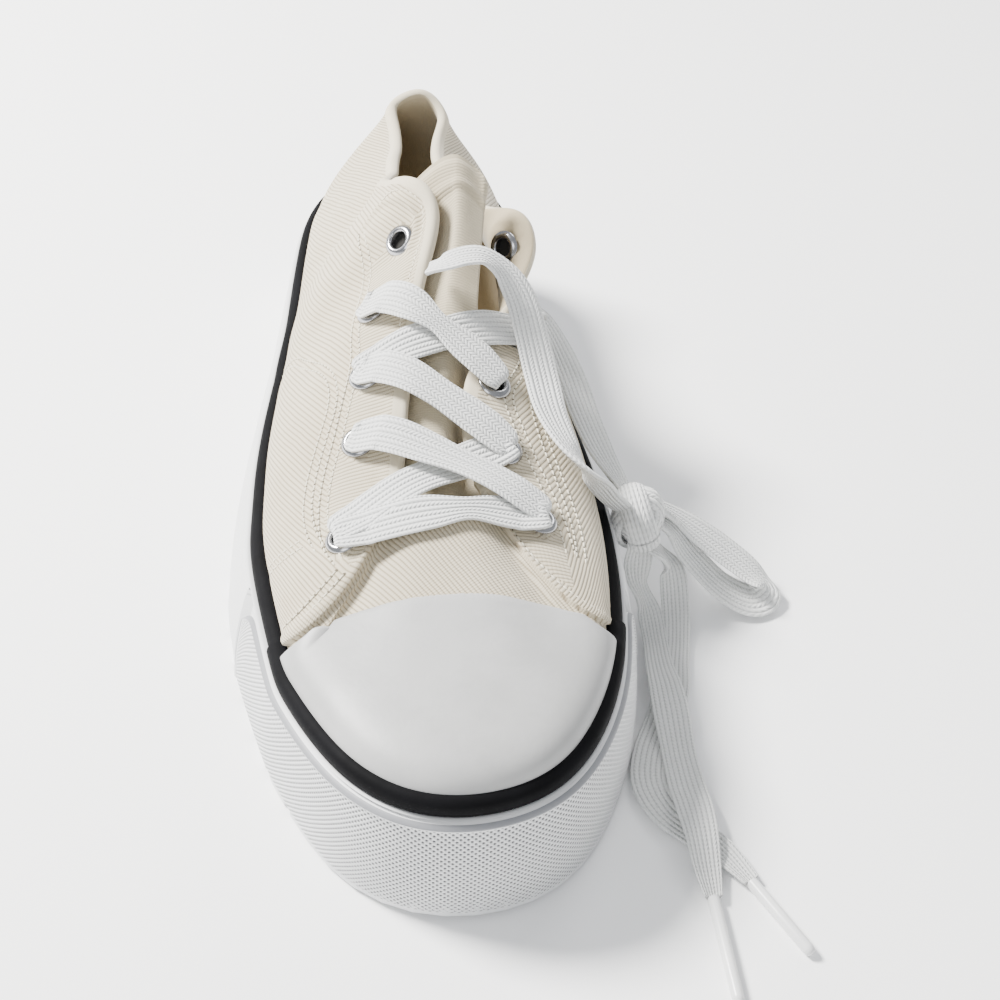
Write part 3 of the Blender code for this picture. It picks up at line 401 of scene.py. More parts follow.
def grid_faces(rows, columns, ring=False, tube=False):
    """Quads of a grid of points; ring closes it along its rows and tube along its columns."""
    last_row = rows if ring else rows - 1
    last_column = columns if tube else columns - 1
    i, k = np.meshgrid(np.arange(last_row), np.arange(last_column), indexing="ij")
    ni, nk = (i + 1) % rows, (k + 1) % columns
    quads = np.stack([i * columns + k, ni * columns + k, ni * columns + nk, i * columns + nk], -1)
    return quads.reshape(-1, 4), i.ravel(), k.ravel()


def grid_piece(name, points, material, ring=False, tube=False, caps=False, cloth=None, sharp=50, slots=None):
    """A piece from a grid of points, rows by columns. cloth holds two coordinates for each point."""
    points = np.asarray(points)
    rows, columns = points.shape[:2]
    quads, i, k = grid_faces(rows, columns, ring, tube)
    faces = quads.tolist()
    uv = None
    if cloth is not None:
        wide = np.concatenate([cloth, cloth[:1]], 0) if ring and cloth.shape[0] == rows else cloth
        wide = np.concatenate([wide, wide[:, :1]], 1) if tube and wide.shape[1] == columns else wide
        uv = np.stack([wide[i, k], wide[i + 1, k], wide[i + 1, k + 1], wide[i, k + 1]], 1).reshape(-1, 2)
    if caps:
        faces.append(list(range(columns)))
        faces.append([(rows - 1) * columns + c for c in reversed(range(columns))])
        if uv is not None:
            uv = np.vstack([uv, np.zeros((2 * columns, 2))])
    return finish_mesh(name, points.reshape(-1, 3), faces, material, uv, sharp, slots)


class Nodes:
    """Short hands for a material's node tree."""

    def __init__(self, name):
        self.material = bpy.data.materials.new(name)
        self.material.use_nodes = True
        self.tree = self.material.node_tree
        self.shader = self.tree.nodes["Principled BSDF"]

    def add(self, kind, inputs=None, **settings):
        node = self.tree.nodes.new(kind)
        for key, value in settings.items():
            setattr(node, key, value)
        for key, value in (inputs or {}).items():
            self.put(node, key, value)
        return node

    def put(self, node, key, value):
        socket = node.inputs[key]
        if isinstance(value, bpy.types.NodeSocket):
            self.tree.links.new(value, socket)
        else:
            socket.default_value = value

    def math(self, operation, first, second=0.0):
        node = self.add("ShaderNodeMath", operation=operation)
        self.put(node, 0, first)
        self.put(node, 1, second)
        return node.outputs[0]

    def noise(self, scale, detail=3.0, roughness=0.5, vector=None):
        node = self.add("ShaderNodeTexNoise", {"Scale": scale, "Detail": detail, "Roughness": roughness})
        source = vector or self.add("ShaderNodeTexCoord").outputs["Object"]
        self.tree.links.new(source, node.inputs["Vector"])
        return node.outputs["Fac"]

    def ramp(self, factor, stops):
        node = self.add("ShaderNodeValToRGB")
        elements = node.color_ramp.elements
        while len(elements) < len(stops):
            elements.new(0.5)
        for element, (position, colour) in zip(elements, stops):
            element.position = position
            element.color = (*colour, 1)
        self.tree.links.new(factor, node.inputs["Fac"])
        return node.outputs["Color"]

    def mix(self, factor, first, second, blend="MIX"):
        node = self.add("ShaderNodeMix", data_type="RGBA", blend_type=blend)
        self.put(node, 0, factor)
        for socket, value in ((6, first), (7, second)):
            self.put(node, socket, value if isinstance(value, bpy.types.NodeSocket) else (*value, 1))
        return node.outputs[2]

    def bump(self, height, distance, strength=1.0, before=None):
        node = self.add("ShaderNodeBump", {"Height": height, "Distance": distance, "Strength": strength})
        if before is not None:
            self.tree.links.new(before, node.inputs["Normal"])
        return node.outputs["Normal"]

    def cloth(self):
        """The two cloth coordinates, in metres."""
        places = self.add("ShaderNodeUVMap", uv_map="cloth").outputs[0]
        apart = self.add("ShaderNodeSeparateXYZ", {"Vector": places})
        return apart.outputs["X"], apart.outputs["Y"]

    def set(self, **values):
        for key, value in values.items():
            self.put(self.shader, key.replace("_", " "), value)


def darker(colour, share):
    return tuple(c * share for c in colour)


def rows_of(nodes, coordinate, pitch):
    """Rounded rows a pitch apart: 0 in the gap and 1 on the row."""
    turn = nodes.math("MULTIPLY", coordinate, pi / pitch)
    return nodes.math("ABSOLUTE", nodes.math("SINE", turn))


def canvas_material(name, colour, painted_gap_shade, pitch, relief, wear=0.0):
    """Ribbed cotton canvas: rounded rows crossed by a fine thread, with painted shade in the gaps between the
    rows and soft random changes of tone.
    """
    nodes = Nodes(name)
    across, along = nodes.cloth()
    slub = nodes.noise(900, 2)
    wander = nodes.math("MULTIPLY", nodes.noise(90, 2), 0.0006)
    ribs = rows_of(nodes, nodes.math("ADD", across, wander), pitch)
    thread = rows_of(nodes, along, pitch * 0.62)
    height = nodes.math("ADD", nodes.math("MULTIPLY", ribs, 0.8), nodes.math("MULTIPLY", thread, 0.25))
    height = nodes.math("ADD", height, nodes.math("MULTIPLY", slub, 0.25))
    # Painted shade: the canvas darkens to the gap colour between its rows, where shade would fall.
    flank = tuple((a + 2 * b) / 3 for a, b in zip(painted_gap_shade, colour))
    shade = nodes.ramp(ribs, ((0.0, painted_gap_shade), (0.45, flank), (0.85, colour)))
    tone = nodes.ramp(nodes.noise(28, 4, 0.6), ((0.30, (0.90, 0.885, 0.86)), (0.70, (1.0, 1.0, 1.0))))
    base = nodes.mix(1.0, shade, tone, "MULTIPLY")
    if wear:
        dirt = nodes.ramp(nodes.noise(60, 6, 0.7), ((0.56, (1, 1, 1)), (0.78, (0.86, 0.82, 0.74))))
        base = nodes.mix(wear, base, nodes.mix(1.0, base, dirt, "MULTIPLY"))
    nodes.set(Base_Color=base, Roughness=0.92, Sheen_Weight=0.25, Sheen_Roughness=0.5,
              Normal=nodes.bump(height, relief))
    nodes.shader.inputs["Specular IOR Level"].default_value = 0.2
    return nodes.material


def plain_cloth_material(name, colour, scale=1800, relief=0.00012, dark=0.86):
    """Finer cloth such as lining, hems and thread, with a soft grain."""
    nodes = Nodes(name)
    grain = nodes.noise(scale, 3, 0.6)
    tone = nodes.ramp(nodes.noise(40, 4), ((0.3, darker(colour, dark)), (0.7, colour)))
    nodes.set(Base_Color=tone, Roughness=0.9, Sheen_Weight=0.2, Normal=nodes.bump(grain, relief))
    nodes.shader.inputs["Specular IOR Level"].default_value = 0.2
    return nodes.material


def rubber_material(name, colour, smudge, roughness=0.5, scale=30, relief=0.00004):
    """Moulded rubber with faint smudges and a fine skin."""
    nodes = Nodes(name)
    cloud = nodes.noise(scale, 6, 0.62)
    tone = nodes.ramp(cloud, ((0.36, smudge), (0.62, colour)))
    rough = nodes.add("ShaderNodeMapRange", {"Value": nodes.noise(scale * 3, 4), "To Min": roughness - 0.08,
                                             "To Max": roughness + 0.10})
    nodes.set(Base_Color=tone, Roughness=rough.outputs[0], Normal=nodes.bump(nodes.noise(700, 3), relief))
    return nodes.material


def grained_material(name, colour, painted_pit_shade):
    """Moulded rubber with staggered rows of pits, their shade painted in, one to each cell of its
    coordinates.
    """
    nodes = Nodes(name)
    across, along = nodes.cloth()
    waves = [nodes.math("COSINE", nodes.math("MULTIPLY", way, 2 * pi)) for way in (across, along)]
    pits = nodes.math("MULTIPLY", *waves)
    # Painted shade: each pit darkens to the pit colour, where shade would fall in it.
    tone = nodes.ramp(pits, ((0.0, colour), (0.10, colour), (0.55, painted_pit_shade)))
    smudge = nodes.ramp(nodes.noise(20, 5, 0.6), ((0.36, (0.96, 0.96, 0.955)), (0.62, (1.0, 1.0, 1.0))))
    nodes.set(Base_Color=nodes.mix(1.0, tone, smudge, "MULTIPLY"), Roughness=0.45,
              Normal=nodes.bump(nodes.math("MULTIPLY", pits, -1.0), 0.00012))
    return nodes.material


def lace_material(name, colour, painted_gap_shade):
    """Flat braid: cords lengthwise, with short slanted stitches along each, and painted shade between them.
    """
    nodes = Nodes(name)
    across, along = nodes.cloth()
    cord_pitch = 0.00115
    cords = rows_of(nodes, across, cord_pitch)
    slant = nodes.math("ADD", along, nodes.math("PINGPONG", across, cord_pitch))
    stitches = rows_of(nodes, slant, 0.00105)
    height = nodes.math("ADD", cords, nodes.math("MULTIPLY", stitches, 0.45))
    # Painted shade: the braid darkens to the gap colour between its cords and stitches.
    shade = nodes.ramp(nodes.math("MULTIPLY", cords, nodes.math("ADD", stitches, 0.45)),
                       ((0.0, painted_gap_shade), (0.5, colour)))
    nodes.set(Base_Color=shade, Roughness=0.85, Sheen_Weight=0.3, Normal=nodes.bump(height, 0.00028))
    nodes.shader.inputs["Specular IOR Level"].default_value = 0.25
    return nodes.material


def metal_material(name, colour, roughness=0.22):
    """Plated metal, worn in patches and finely scratched."""
    nodes = Nodes(name)
    worn = nodes.ramp(nodes.noise(260, 4), ((0.3, darker(colour, 0.72)), (0.6, colour)))
    scratch = nodes.noise(1500, 2)
    nodes.set(Base_Color=worn, Metallic=1.0, Roughness=roughness, Normal=nodes.bump(scratch, 0.00002))
    return nodes.material


class Shop:
    """The finishes, made once and shared by the operators."""
    made = {}

    @classmethod
    def get(cls, name):
        if name not in cls.made:
            cls.made[name] = cls.make(name)
        return cls.made[name]

    @staticmethod
    def make(name):
        tints = bpy.context.scene.sneaker_colours
        # The second colour for the canvas and for the tongue is painted shade between their rows.
        if name == "canvas":
            return canvas_material(name, tuple(tints.canvas), tuple(tints.canvas_gap), 0.00105, 0.00019, 0.5)
        if name == "tongue canvas":
            return canvas_material(name, tuple(tints.tongue), darker(tints.tongue, 0.90), 0.0007, 0.00010)
        if name == "lining":
            return plain_cloth_material(name, tuple(tints.lining))
        if name == "hem":
            return plain_cloth_material(name, tuple(tints.canvas), 2200, 0.00008, 0.93)
        if name == "thread":
            return plain_cloth_material(name, tuple(tints.thread), 5000, 0.00005, 0.95)
        # Painted shade: the dark brown of the needle holes.
        if name == "needle hole":
            return plain_cloth_material(name, (0.12, 0.10, 0.07), 3000, 0.00003)
        if name == "cap rubber":
            return rubber_material(name, tuple(tints.cap), darker(tints.cap, 0.84), 0.46, 34)
        if name == "white rubber":
            return rubber_material(name, tuple(tints.rubber), darker(tints.rubber, 0.97), 0.42, 18)
        if name == "grained rubber":
            return grained_material(name, tuple(tints.rubber), tuple(tints.pit))
        # Painted shadow: the grey finish of the band along the bumper's top edge and ends.
        if name == "lip rubber":
            return rubber_material(name, tuple(tints.lip), darker(tints.lip, 0.9), 0.5)
        if name == "black rubber":
            matt = rubber_material(name, tuple(tints.stripe), (0.005, 0.005, 0.006), 0.65, 60)
            matt.node_tree.nodes["Principled BSDF"].inputs["Specular IOR Level"].default_value = 0.05
            return matt
        if name == "foam":
            return rubber_material(name, (0.80, 0.80, 0.79), (0.74, 0.74, 0.73), 0.8)
        # The second colour is painted shade between the lace's cords.
        if name == "lace":
            return lace_material(name, tuple(tints.lace), darker(tints.lace, 0.66))
        if name == "lace tip":
            return rubber_material(name, (0.74, 0.74, 0.73), (0.66, 0.66, 0.66), 0.28)
        if name == "nickel":
            return metal_material(name, tuple(tints.nickel))
        # Painted shade: the near-black finish of the discs in the eyelets' bores.
        if name == "dark":
            return plain_cloth_material(name, (0.016, 0.015, 0.013), 900, 0.00002)
        raise KeyError(name)


def keep(piece, slot, *nodes):
    """The piece rides on the shoe and stands for CAD nodes, which it hides. Its slot is not used."""
    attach(piece, "root")
    if nodes:
        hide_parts(*nodes)
    return piece


class SneakerColours(bpy.types.PropertyGroup):
    """Colours of the finishes, as linear values."""
    canvas: bpy.props.FloatVectorProperty(
        name="Canvas", description="Ribs of the woven canvas", subtype="COLOR", size=3,
        default=(0.61, 0.545, 0.415))
    canvas_gap: bpy.props.FloatVectorProperty(
        name="Canvas gaps", description="Shade between the canvas ribs", subtype="COLOR", size=3,
        default=(0.29, 0.235, 0.155))
    tongue: bpy.props.FloatVectorProperty(
        name="Tongue", description="Finer canvas of the tongue", subtype="COLOR", size=3,
        default=(0.53, 0.465, 0.34))
    lining: bpy.props.FloatVectorProperty(
        name="Lining", description="Lining inside the shoe", subtype="COLOR", size=3,
        default=(0.46, 0.385, 0.26))
    thread: bpy.props.FloatVectorProperty(
        name="Thread", description="Stitching thread", subtype="COLOR", size=3,
        default=(0.72, 0.67, 0.54))
    cap: bpy.props.FloatVectorProperty(
        name="Toe cap", description="Rubber of the toe cap", subtype="COLOR", size=3,
        default=(0.42, 0.42, 0.415))
    rubber: bpy.props.FloatVectorProperty(
        name="Sole", description="White rubber of the sole", subtype="COLOR", size=3,
        default=(0.68, 0.685, 0.69))
    pit: bpy.props.FloatVectorProperty(
        name="Bumper pits", description="Shade in the pits of the toe bumper", subtype="COLOR", size=3,
        default=(0.12, 0.12, 0.125))
    # Painted shadow: the grey along the bumper's top edge and ends.
    lip: bpy.props.FloatVectorProperty(
        name="Bumper lip", description="Grey lip round the bumper", subtype="COLOR", size=3,
        default=(0.24, 0.245, 0.26))
    stripe: bpy.props.FloatVectorProperty(
        name="Stripe", description="Black line round the sole", subtype="COLOR", size=3,
        default=(0.0035, 0.0035, 0.004))
    lace: bpy.props.FloatVectorProperty(
        name="Lace", description="Flat braided lace", subtype="COLOR", size=3,
        default=(0.71, 0.715, 0.70))
    nickel: bpy.props.FloatVectorProperty(
        name="Eyelets", description="Plated eyelets", subtype="COLOR", size=3,
        default=(0.40, 0.40, 0.41))


class SneakerSizes(bpy.types.PropertyGroup):
    """Sizes of the sewn and moulded detail."""
    stitch_pitch: bpy.props.FloatProperty(name="Stitch pitch", description="From one stitch to the next",
                                          default=0.0019, unit="LENGTH")
    stitch_width: bpy.props.FloatProperty(name="Stitch width", description="Thickness of the thread",
                                          default=0.00052, unit="LENGTH")
    row_gap: bpy.props.FloatProperty(name="Row gap", description="Between twin rows of stitches",
                                     default=0.0025, unit="LENGTH")
    pip_pitch: bpy.props.FloatProperty(name="Bumper pitch", description="Between the pips of the toe bumper",
                                       default=0.0016, unit="LENGTH")
    pip_depth: bpy.props.FloatProperty(name="Bumper relief", description="Depth between the bumper's pips",
                                       default=0.00040, unit="LENGTH")
    lace_width: bpy.props.FloatProperty(name="Lace width", description="Width of the flat lace",
                                        default=0.0104, unit="LENGTH")
    lace_thickness: bpy.props.FloatProperty(name="Lace thickness", description="Thickness of the flat lace",
                                            default=0.0014, unit="LENGTH")


class StageSettings(bpy.types.PropertyGroup):
    """Camera and floor."""
    eye: bpy.props.FloatVectorProperty(name="Camera place", description="Where the camera stands", size=3,
                                       subtype="TRANSLATION", default=(-0.015786, -0.443289, 0.292174))
    aim: bpy.props.FloatVectorProperty(name="Camera aim", description="What the camera points at", size=3,
                                       subtype="TRANSLATION", default=(0.0207, -0.1090, 0.0180))
    roll: bpy.props.FloatProperty(name="Camera roll", description="Turn about the line of sight",
                                  default=0.04259, subtype="ANGLE")
    lens: bpy.props.FloatProperty(name="Lens", description="Focal length in millimetres", default=57.6)
    floor: bpy.props.FloatVectorProperty(name="Floor", description="Colour of the floor", subtype="COLOR",
                                         size=3, default=(0.97, 0.97, 0.97))


def hands():
    """The sizes, colours and stage settings that every builder is given."""
    scene = bpy.context.scene
    return scene.sneaker_sizes, scene.sneaker_colours, scene.sneaker_stage


class Maker(bpy.types.Operator):
    """Shared base: runs its build once."""
    bl_options = {"REGISTER", "UNDO"}

    def execute(self, context):
        self.build(*hands())
        return {"FINISHED"}


# The lamps: place, width across, power in watts and tint; all face one place on the shoe
LAMPS = (
    ("key", (-0.80, 0.25, 1.00), 0.40, 78.0, (1.0, 0.985, 0.955)),
    ("front", (-0.45, -1.15, 0.85), 0.7, 6.0, (0.98, 0.99, 1.0)),
    ("rim", (0.60, 0.85, 0.85), 0.6, 7.0, (1.0, 1.0, 1.0)),
)
LIT_PLACE = (0.01, -0.1, 0.03)
SKY_COLOUR = (0.93, 0.96, 1.0, 1)
SKY_STRENGTH = 0.72
FLOOR_HALF = 3.0


class SNEAKER_OT_stage(Maker):
    """Sets up the pale floor, the soft light and the camera"""
    bl_idname = "sneaker.stage"
    bl_label = "Stage"

    def build(self, sizes, colours, stage):
        scene = bpy.context.scene
        half = FLOOR_HALF
        floor_mesh = bpy.data.meshes.new("floor")
        floor_mesh.from_pydata([(-half, -half, 0), (half, -half, 0), (half, half, 0), (-half, half, 0)], [],
                               [(0, 1, 2, 3)])
        floor = bpy.data.objects.new("floor", floor_mesh)
        scene.collection.objects.link(floor)
        floor.location.z = -0.00005
        paper = Nodes("floor paper")
        pale = tuple(stage.floor)
        tone = paper.ramp(paper.noise(2.0, 2), ((0.3, darker(pale, 0.985)), (0.7, pale)))
        paper.set(Base_Color=tone, Roughness=0.85)
        floor_mesh.materials.append(paper.material)

        world = bpy.data.worlds.new("studio")
        scene.world = world
        world.use_nodes = True
        sky = world.node_tree.nodes["Background"]
        sky.inputs["Color"].default_value = SKY_COLOUR
        sky.inputs["Strength"].default_value = SKY_STRENGTH
        for name, spot, size, power, tint in LAMPS:
            light = bpy.data.lights.new(name, "AREA")
            light.shape = "DISK"
            light.size = size
            light.energy = power
            light.color = tint
            lamp = bpy.data.objects.new(name, light)
            scene.collection.objects.link(lamp)
            lamp.location = spot
            lamp.rotation_euler = (Vector(LIT_PLACE) - Vector(spot)).to_track_quat("-Z", "Y").to_euler()

        camera = bpy.data.cameras.new("camera")
        camera.lens = stage.lens
        camera.sensor_width = 36
        camera.clip_start = 0.02
        holder = bpy.data.objects.new("camera", camera)
        scene.collection.objects.link(holder)
        sight = (Vector(stage.aim) - Vector(stage.eye)).normalized()
        level = sight.cross(Vector((0, 0, 1))).normalized()
        rise = level.cross(sight)
        across = cos(stage.roll) * level + sin(stage.roll) * rise
        above = -sin(stage.roll) * level + cos(stage.roll) * rise
        turn = Matrix((across, above, -sight)).transposed().to_4x4()
        turn.translation = Vector(stage.eye)
        holder.matrix_world = turn
        scene.camera = holder


def upper_columns():
    """Places around the upper where its fine mesh has a column, closer at the quarters' front edges."""
    steps = 14
    places = [a / steps for a in range(RIB_COUNT * steps)]
    close = (-0.05, -0.02, -0.004, 0.004, 0.008, 0.016, 0.035, 0.06)
    for front, sign in ((FRONT_OUTER, 1), (FRONT_INNER, -1)):
        places = [a for a in places if abs(a - front) > 0.07]
        places += [front + sign * c for c in close]
    return np.array(sorted(places))


def rib_lengths(around):
    """The length of the upper's face from foot to edge."""
    heights = np.linspace(0, 1, 25)
    run = place(np.asarray(around)[..., None], heights)
    return np.linalg.norm(np.diff(run, axis=-2), axis=-1).sum(-1)


def row_run(points, spacing=0.0006):
    """A stitch row's table of places, as a fine run of places and points."""
    fine = []
    for (a0, h0), (a1, h1) in zip(points[:-1], points[1:]):
        length = np.linalg.norm(place(a1, h1) - place(a0, h0))
        count = max(2, int(length / spacing))
        share = np.arange(count) / count
        fine.append(np.stack([a0 + (a1 - a0) * share, h0 + (h1 - h0) * share], -1))
    fine = np.vstack(fine + [np.array([points[-1]])])
    width = 9
    padded = np.vstack([np.repeat(fine[:1], width, 0), fine, np.repeat(fine[-1:], width, 0)])
    kernel = np.ones(2 * width + 1) / (2 * width + 1)
    smooth = np.stack([np.convolve(padded[:, c], kernel, "valid") for c in range(2)], -1)
    return smooth


def coarse_run(table):
    """Every fourth point of a row's fine run, which is close enough for its soft relief."""
    smooth = row_run(table)[::4]
    return place(smooth[:, 0], smooth[:, 1])


def relief(points):
    """Soft creases, the tabs' ridges and the grooves along the stitch rows, as a move along the normal."""
    move = np.zeros(points.shape[:-1])
    for a0, h0, a1, h1, width, depth in CREASES:
        share = np.linspace(0, 1, 5)
        run = place(a0 + (a1 - a0) * share, h0 + (h1 - h0) * share)
        move += depth * MM * bell(distance_to_run(points, run), width * MM)
    for table in RIDGES:
        move += RIDGE_HEIGHT * bell(distance_to_run(points, coarse_run(table)), RIDGE_WIDTH)
    for _, rows, table in STITCH_ROWS:
        move -= SEAM_DEPTH * bell(distance_to_run(points, coarse_run(table)), SEAM_WIDTHS[rows - 1])
    return move


def surface_point(around, height, lift=0.0):
    """A point on the visible canvas, with its normal, for what is sewn or set on it."""
    around, height = np.atleast_1d(around), np.atleast_1d(height)
    base = place(around, height)
    out = normal(around, height)
    move = quarter_proud(around, height) + relief(base) + lift
    return base + out * move[..., None], out


def cloth_places(around, height):
    """Cloth coordinates of three panels: the quarters, the eyelet stays and the vamp."""
    turn = around[:, None] + 0 * height[None, :]
    tall = 0 * around[:, None] + height[None, :]
    points = place(turn, tall)
    foot = place(around, 0)
    steps = np.linalg.norm(np.diff(foot, axis=0, append=foot[:1]), axis=-1)
    along = np.concatenate([[0], np.cumsum(steps)[:-1]])[:, None] + 0 * height[None, :]
    rise = tall * rib_lengths(around)[:, None]
    toward_toe = np.where(turn < 17.5, 1.0, -1.0)
    quarter = np.stack([along * cos(RIB_SLANT) - toward_toe * rise * sin(RIB_SLANT),
                        along * sin(RIB_SLANT) * toward_toe + rise * cos(RIB_SLANT)], -1)
    stay = np.stack([-points[..., 1], points[..., 0] + points[..., 2]], -1)
    side, ahead = points[..., 0], points[..., 1]
    vamp = np.stack([side * 0.82 + ahead * 0.57, ahead * 0.82 - side * 0.57], -1)
    return quarter, stay, vamp


def stay_line(around):
    """Height up each rib where the eyelet stay begins."""
    outer = np.interp(around, (8.6, 9.7, 11.0, 12.1, 13.15, 13.8), (0.62, 0.64, 0.73, 0.68, 0.585, 0.7))
    inner = np.interp(around, (21.2, 22.35, 23.3, 23.9, 24.5, 25.9), (0.46, 0.56, 0.70, 0.80, 0.74, 0.66))
    line = np.where((around > 8.6) & (around < 13.8), outer, 2.0)
    return np.where((around > 21.2) & (around < 25.9), inner, line)


def bores():
    """Each eyelet's centre on the upper and the direction of its bore."""
    return [(place(around, height), normal(around, height)) for _, around, height, _ in EYELETS]


class SNEAKER_OT_upper(Maker):
    """Weaves the hollow upper with its quarters, vamp, hems, creases and eyelet holes"""
    bl_idname = "sneaker.upper"
    bl_label = "Upper"

    def build(self, sizes, colours, stage):
        around = upper_columns()
        up = np.linspace(0, 1, WALL_ROWS + 1)
        down = np.linspace(1, 0, LINING_ROWS + 1)
        outer = self.outer_face(around, up)
        inner = self.lining_face(around, down)
        roll = self.rolled_edge(around, outer[:, -1], inner[:, 0])
        seat = profile(SEAT_TOP, place(around, 0)[:, 1]) + GAP
        foot_out = outline(around, np.zeros(len(around)), seat)[:, None]
        foot_in = outline(around, np.full(len(around), -UPPER_WALL), seat)[:, None]
        points = np.concatenate([foot_out, outer, roll, inner, foot_in], 1)
        level = np.concatenate([[0.0], up, [1.0] * len(EDGE_TURNS), down, [0.0]])

        rows, columns = points.shape[:2]
        quads, i, k = grid_faces(rows, columns, ring=True, tube=True)
        ni, nk = (i + 1) % rows, (k + 1) % columns
        corners = ((i, k), (ni, k), (ni, nk), (i, nk))
        uv, slots = self.panels(around, level, corners)
        stays = self.off_the_bores(points, corners)
        flat = points.reshape(-1, 3)
        used = quads[stays]
        self.open_holes(flat, used)
        piece = finish_mesh("canvas_upper", flat, used.tolist(),
                            [Shop.get("canvas"), Shop.get("lining"), Shop.get("hem")],
                            uv[stays].reshape(-1, 2), 55, slots[stays])
        self.close_holes(piece)
        keep(piece, "canvas", "upper")

    def outer_face(self, around, height):
        """The canvas with its quarters, relief, hem and the welts beside the vamp."""
        turn, tall = np.meshgrid(around, height, indexing="ij")
        base = place(turn, tall)
        from_edge = (1 - tall) * rib_lengths(around)[:, None]
        hem = HEM_HEIGHT * bell(from_edge, HEM_WIDTH, HEM_FROM_EDGE)
        move = quarter_proud(turn, tall) + relief(base) + hem
        for front, sign in ((FRONT_OUTER, -1), (FRONT_INNER, 1)):
            beside = sign * (turn - front) * METRES_PER_RIB
            welt = WELT_HEIGHT * bell(beside, WELT_WIDTH, WELT_FROM_SEAM)
            move += welt * (beside > 0) * smooth_step(tall / 0.1)
        return base + normal(turn, tall) * move[..., None]

    def lining_face(self, around, height):
        """The lining, which follows the canvas a little more softly."""
        turn, tall = np.meshgrid(around, height, indexing="ij")
        base = place(turn, tall)
        fold = relief(base) * 0.8
        return base + normal(turn, tall) * (fold - UPPER_WALL)[..., None]

    def rolled_edge(self, around, top_out, top_in):
        """The rounded top edge between canvas and lining."""
        middle = (top_out + top_in) / 2
        half = (top_out - top_in) / 2
        rise = unit(place(around, 1.0) - place(around, 0.97))
        reach = np.linalg.norm(half, axis=-1, keepdims=True) * 0.9
        return np.stack([middle + half * cos(t) + rise * reach * sin(t) for t in EDGE_TURNS], 1)

    def panels(self, around, level, corners):
        """Cloth coordinates of each face's corners, panel by panel, and the finish of each face."""
        quarter, stay, vamp_cloth = cloth_places(around, level)
        (i, k), (ni, _) = corners[:2]
        turn, tall = around[i], level[k]
        is_vamp = (turn >= FRONT_OUTER - 1e-6) & (turn < FRONT_INNER - 1e-6)
        is_stay = tall >= stay_line(turn) - 1e-6
        inside = k > WALL_ROWS + len(EDGE_TURNS)
        hemmed = (tall > 1 - HEM_TAPE / rib_lengths(turn)) & ~inside
        uv = np.empty((len(i), 4, 2))
        for c, (ci, ck) in enumerate(corners):
            sewn = np.where(is_stay[:, None], stay[ci, ck], quarter[ci, ck])
            uv[:, c] = np.where(is_vamp[:, None], vamp_cloth[ci, ck], sewn)
        wrap = ni == 0
        uv[wrap, 1:3] += quarter[-1, 0] - quarter[0, 0]
        return uv, np.where(inside, 1, np.where(hemmed, 2, 0))

    def off_the_bores(self, points, corners):
        """Which faces stay when the eyelets' bores are cut through canvas and lining."""
        stays = np.ones(len(corners[0][0]), bool)
        for centre, axis in bores():
            offset = points - centre
            deep = offset @ axis
            aside = np.linalg.norm(offset - deep[..., None] * axis, axis=-1)
            for start, count in ((1, WALL_ROWS + 1), (WALL_ROWS + len(EDGE_TURNS) + 2, LINING_ROWS + 1)):
                region = np.zeros(points.shape[:2], bool)
                region[:, start:start + count] = True
                bore = region & (np.abs(deep) < BORE_DEEP) & (aside < BORE_CLEARED)
                for ci, ck in corners:
                    stays &= ~bore[ci, ck]
        return stays

    def open_holes(self, flat, used):
        """Rounds the edge of each hole: its edge points move to the hole's circle."""
        sides = [used[:, [a, (a + 1) % 4]] for a in range(4)]
        edges = np.sort(np.concatenate(sides), axis=1)
        pairs, counts = np.unique(edges, axis=0, return_counts=True)
        rim = np.unique(pairs[counts == 1])
        for centre, axis in bores():
            offset = flat[rim] - centre
            deep = offset @ axis
            aside = offset - deep[:, None] * axis
            length = np.linalg.norm(aside, axis=1)
            chosen = (length < BORE_REACH) & (np.abs(deep) < BORE_EDGE_DEEP)
            around_bore = aside[chosen] / length[chosen, None] * BORE_RADIUS
            flat[rim[chosen]] = centre + deep[chosen, None] * axis + around_bore

    def close_holes(self, piece):
        """Joins the outer and inner edge of each hole, so that the wall shows its thickness."""
        work = bmesh.new()
        work.from_mesh(piece.data)
        bmesh.ops.delete(work, geom=[v for v in work.verts if not v.link_faces], context="VERTS")
        for centre, _ in bores():
            middle = Vector(centre)
            near = [e for e in work.edges
                    if e.is_boundary and (e.verts[0].co - middle).length < BORE_EDGE_NEAR]
            if near:
                bmesh.ops.bridge_loops(work, edges=near)
        work.to_mesh(piece.data)
        work.free()


def toe_columns(start, end, step):
    """Evenly spaced places from start to end, about a step apart."""
    count = int(round((end - start) / step))
    return np.linspace(start, end, count + 1)


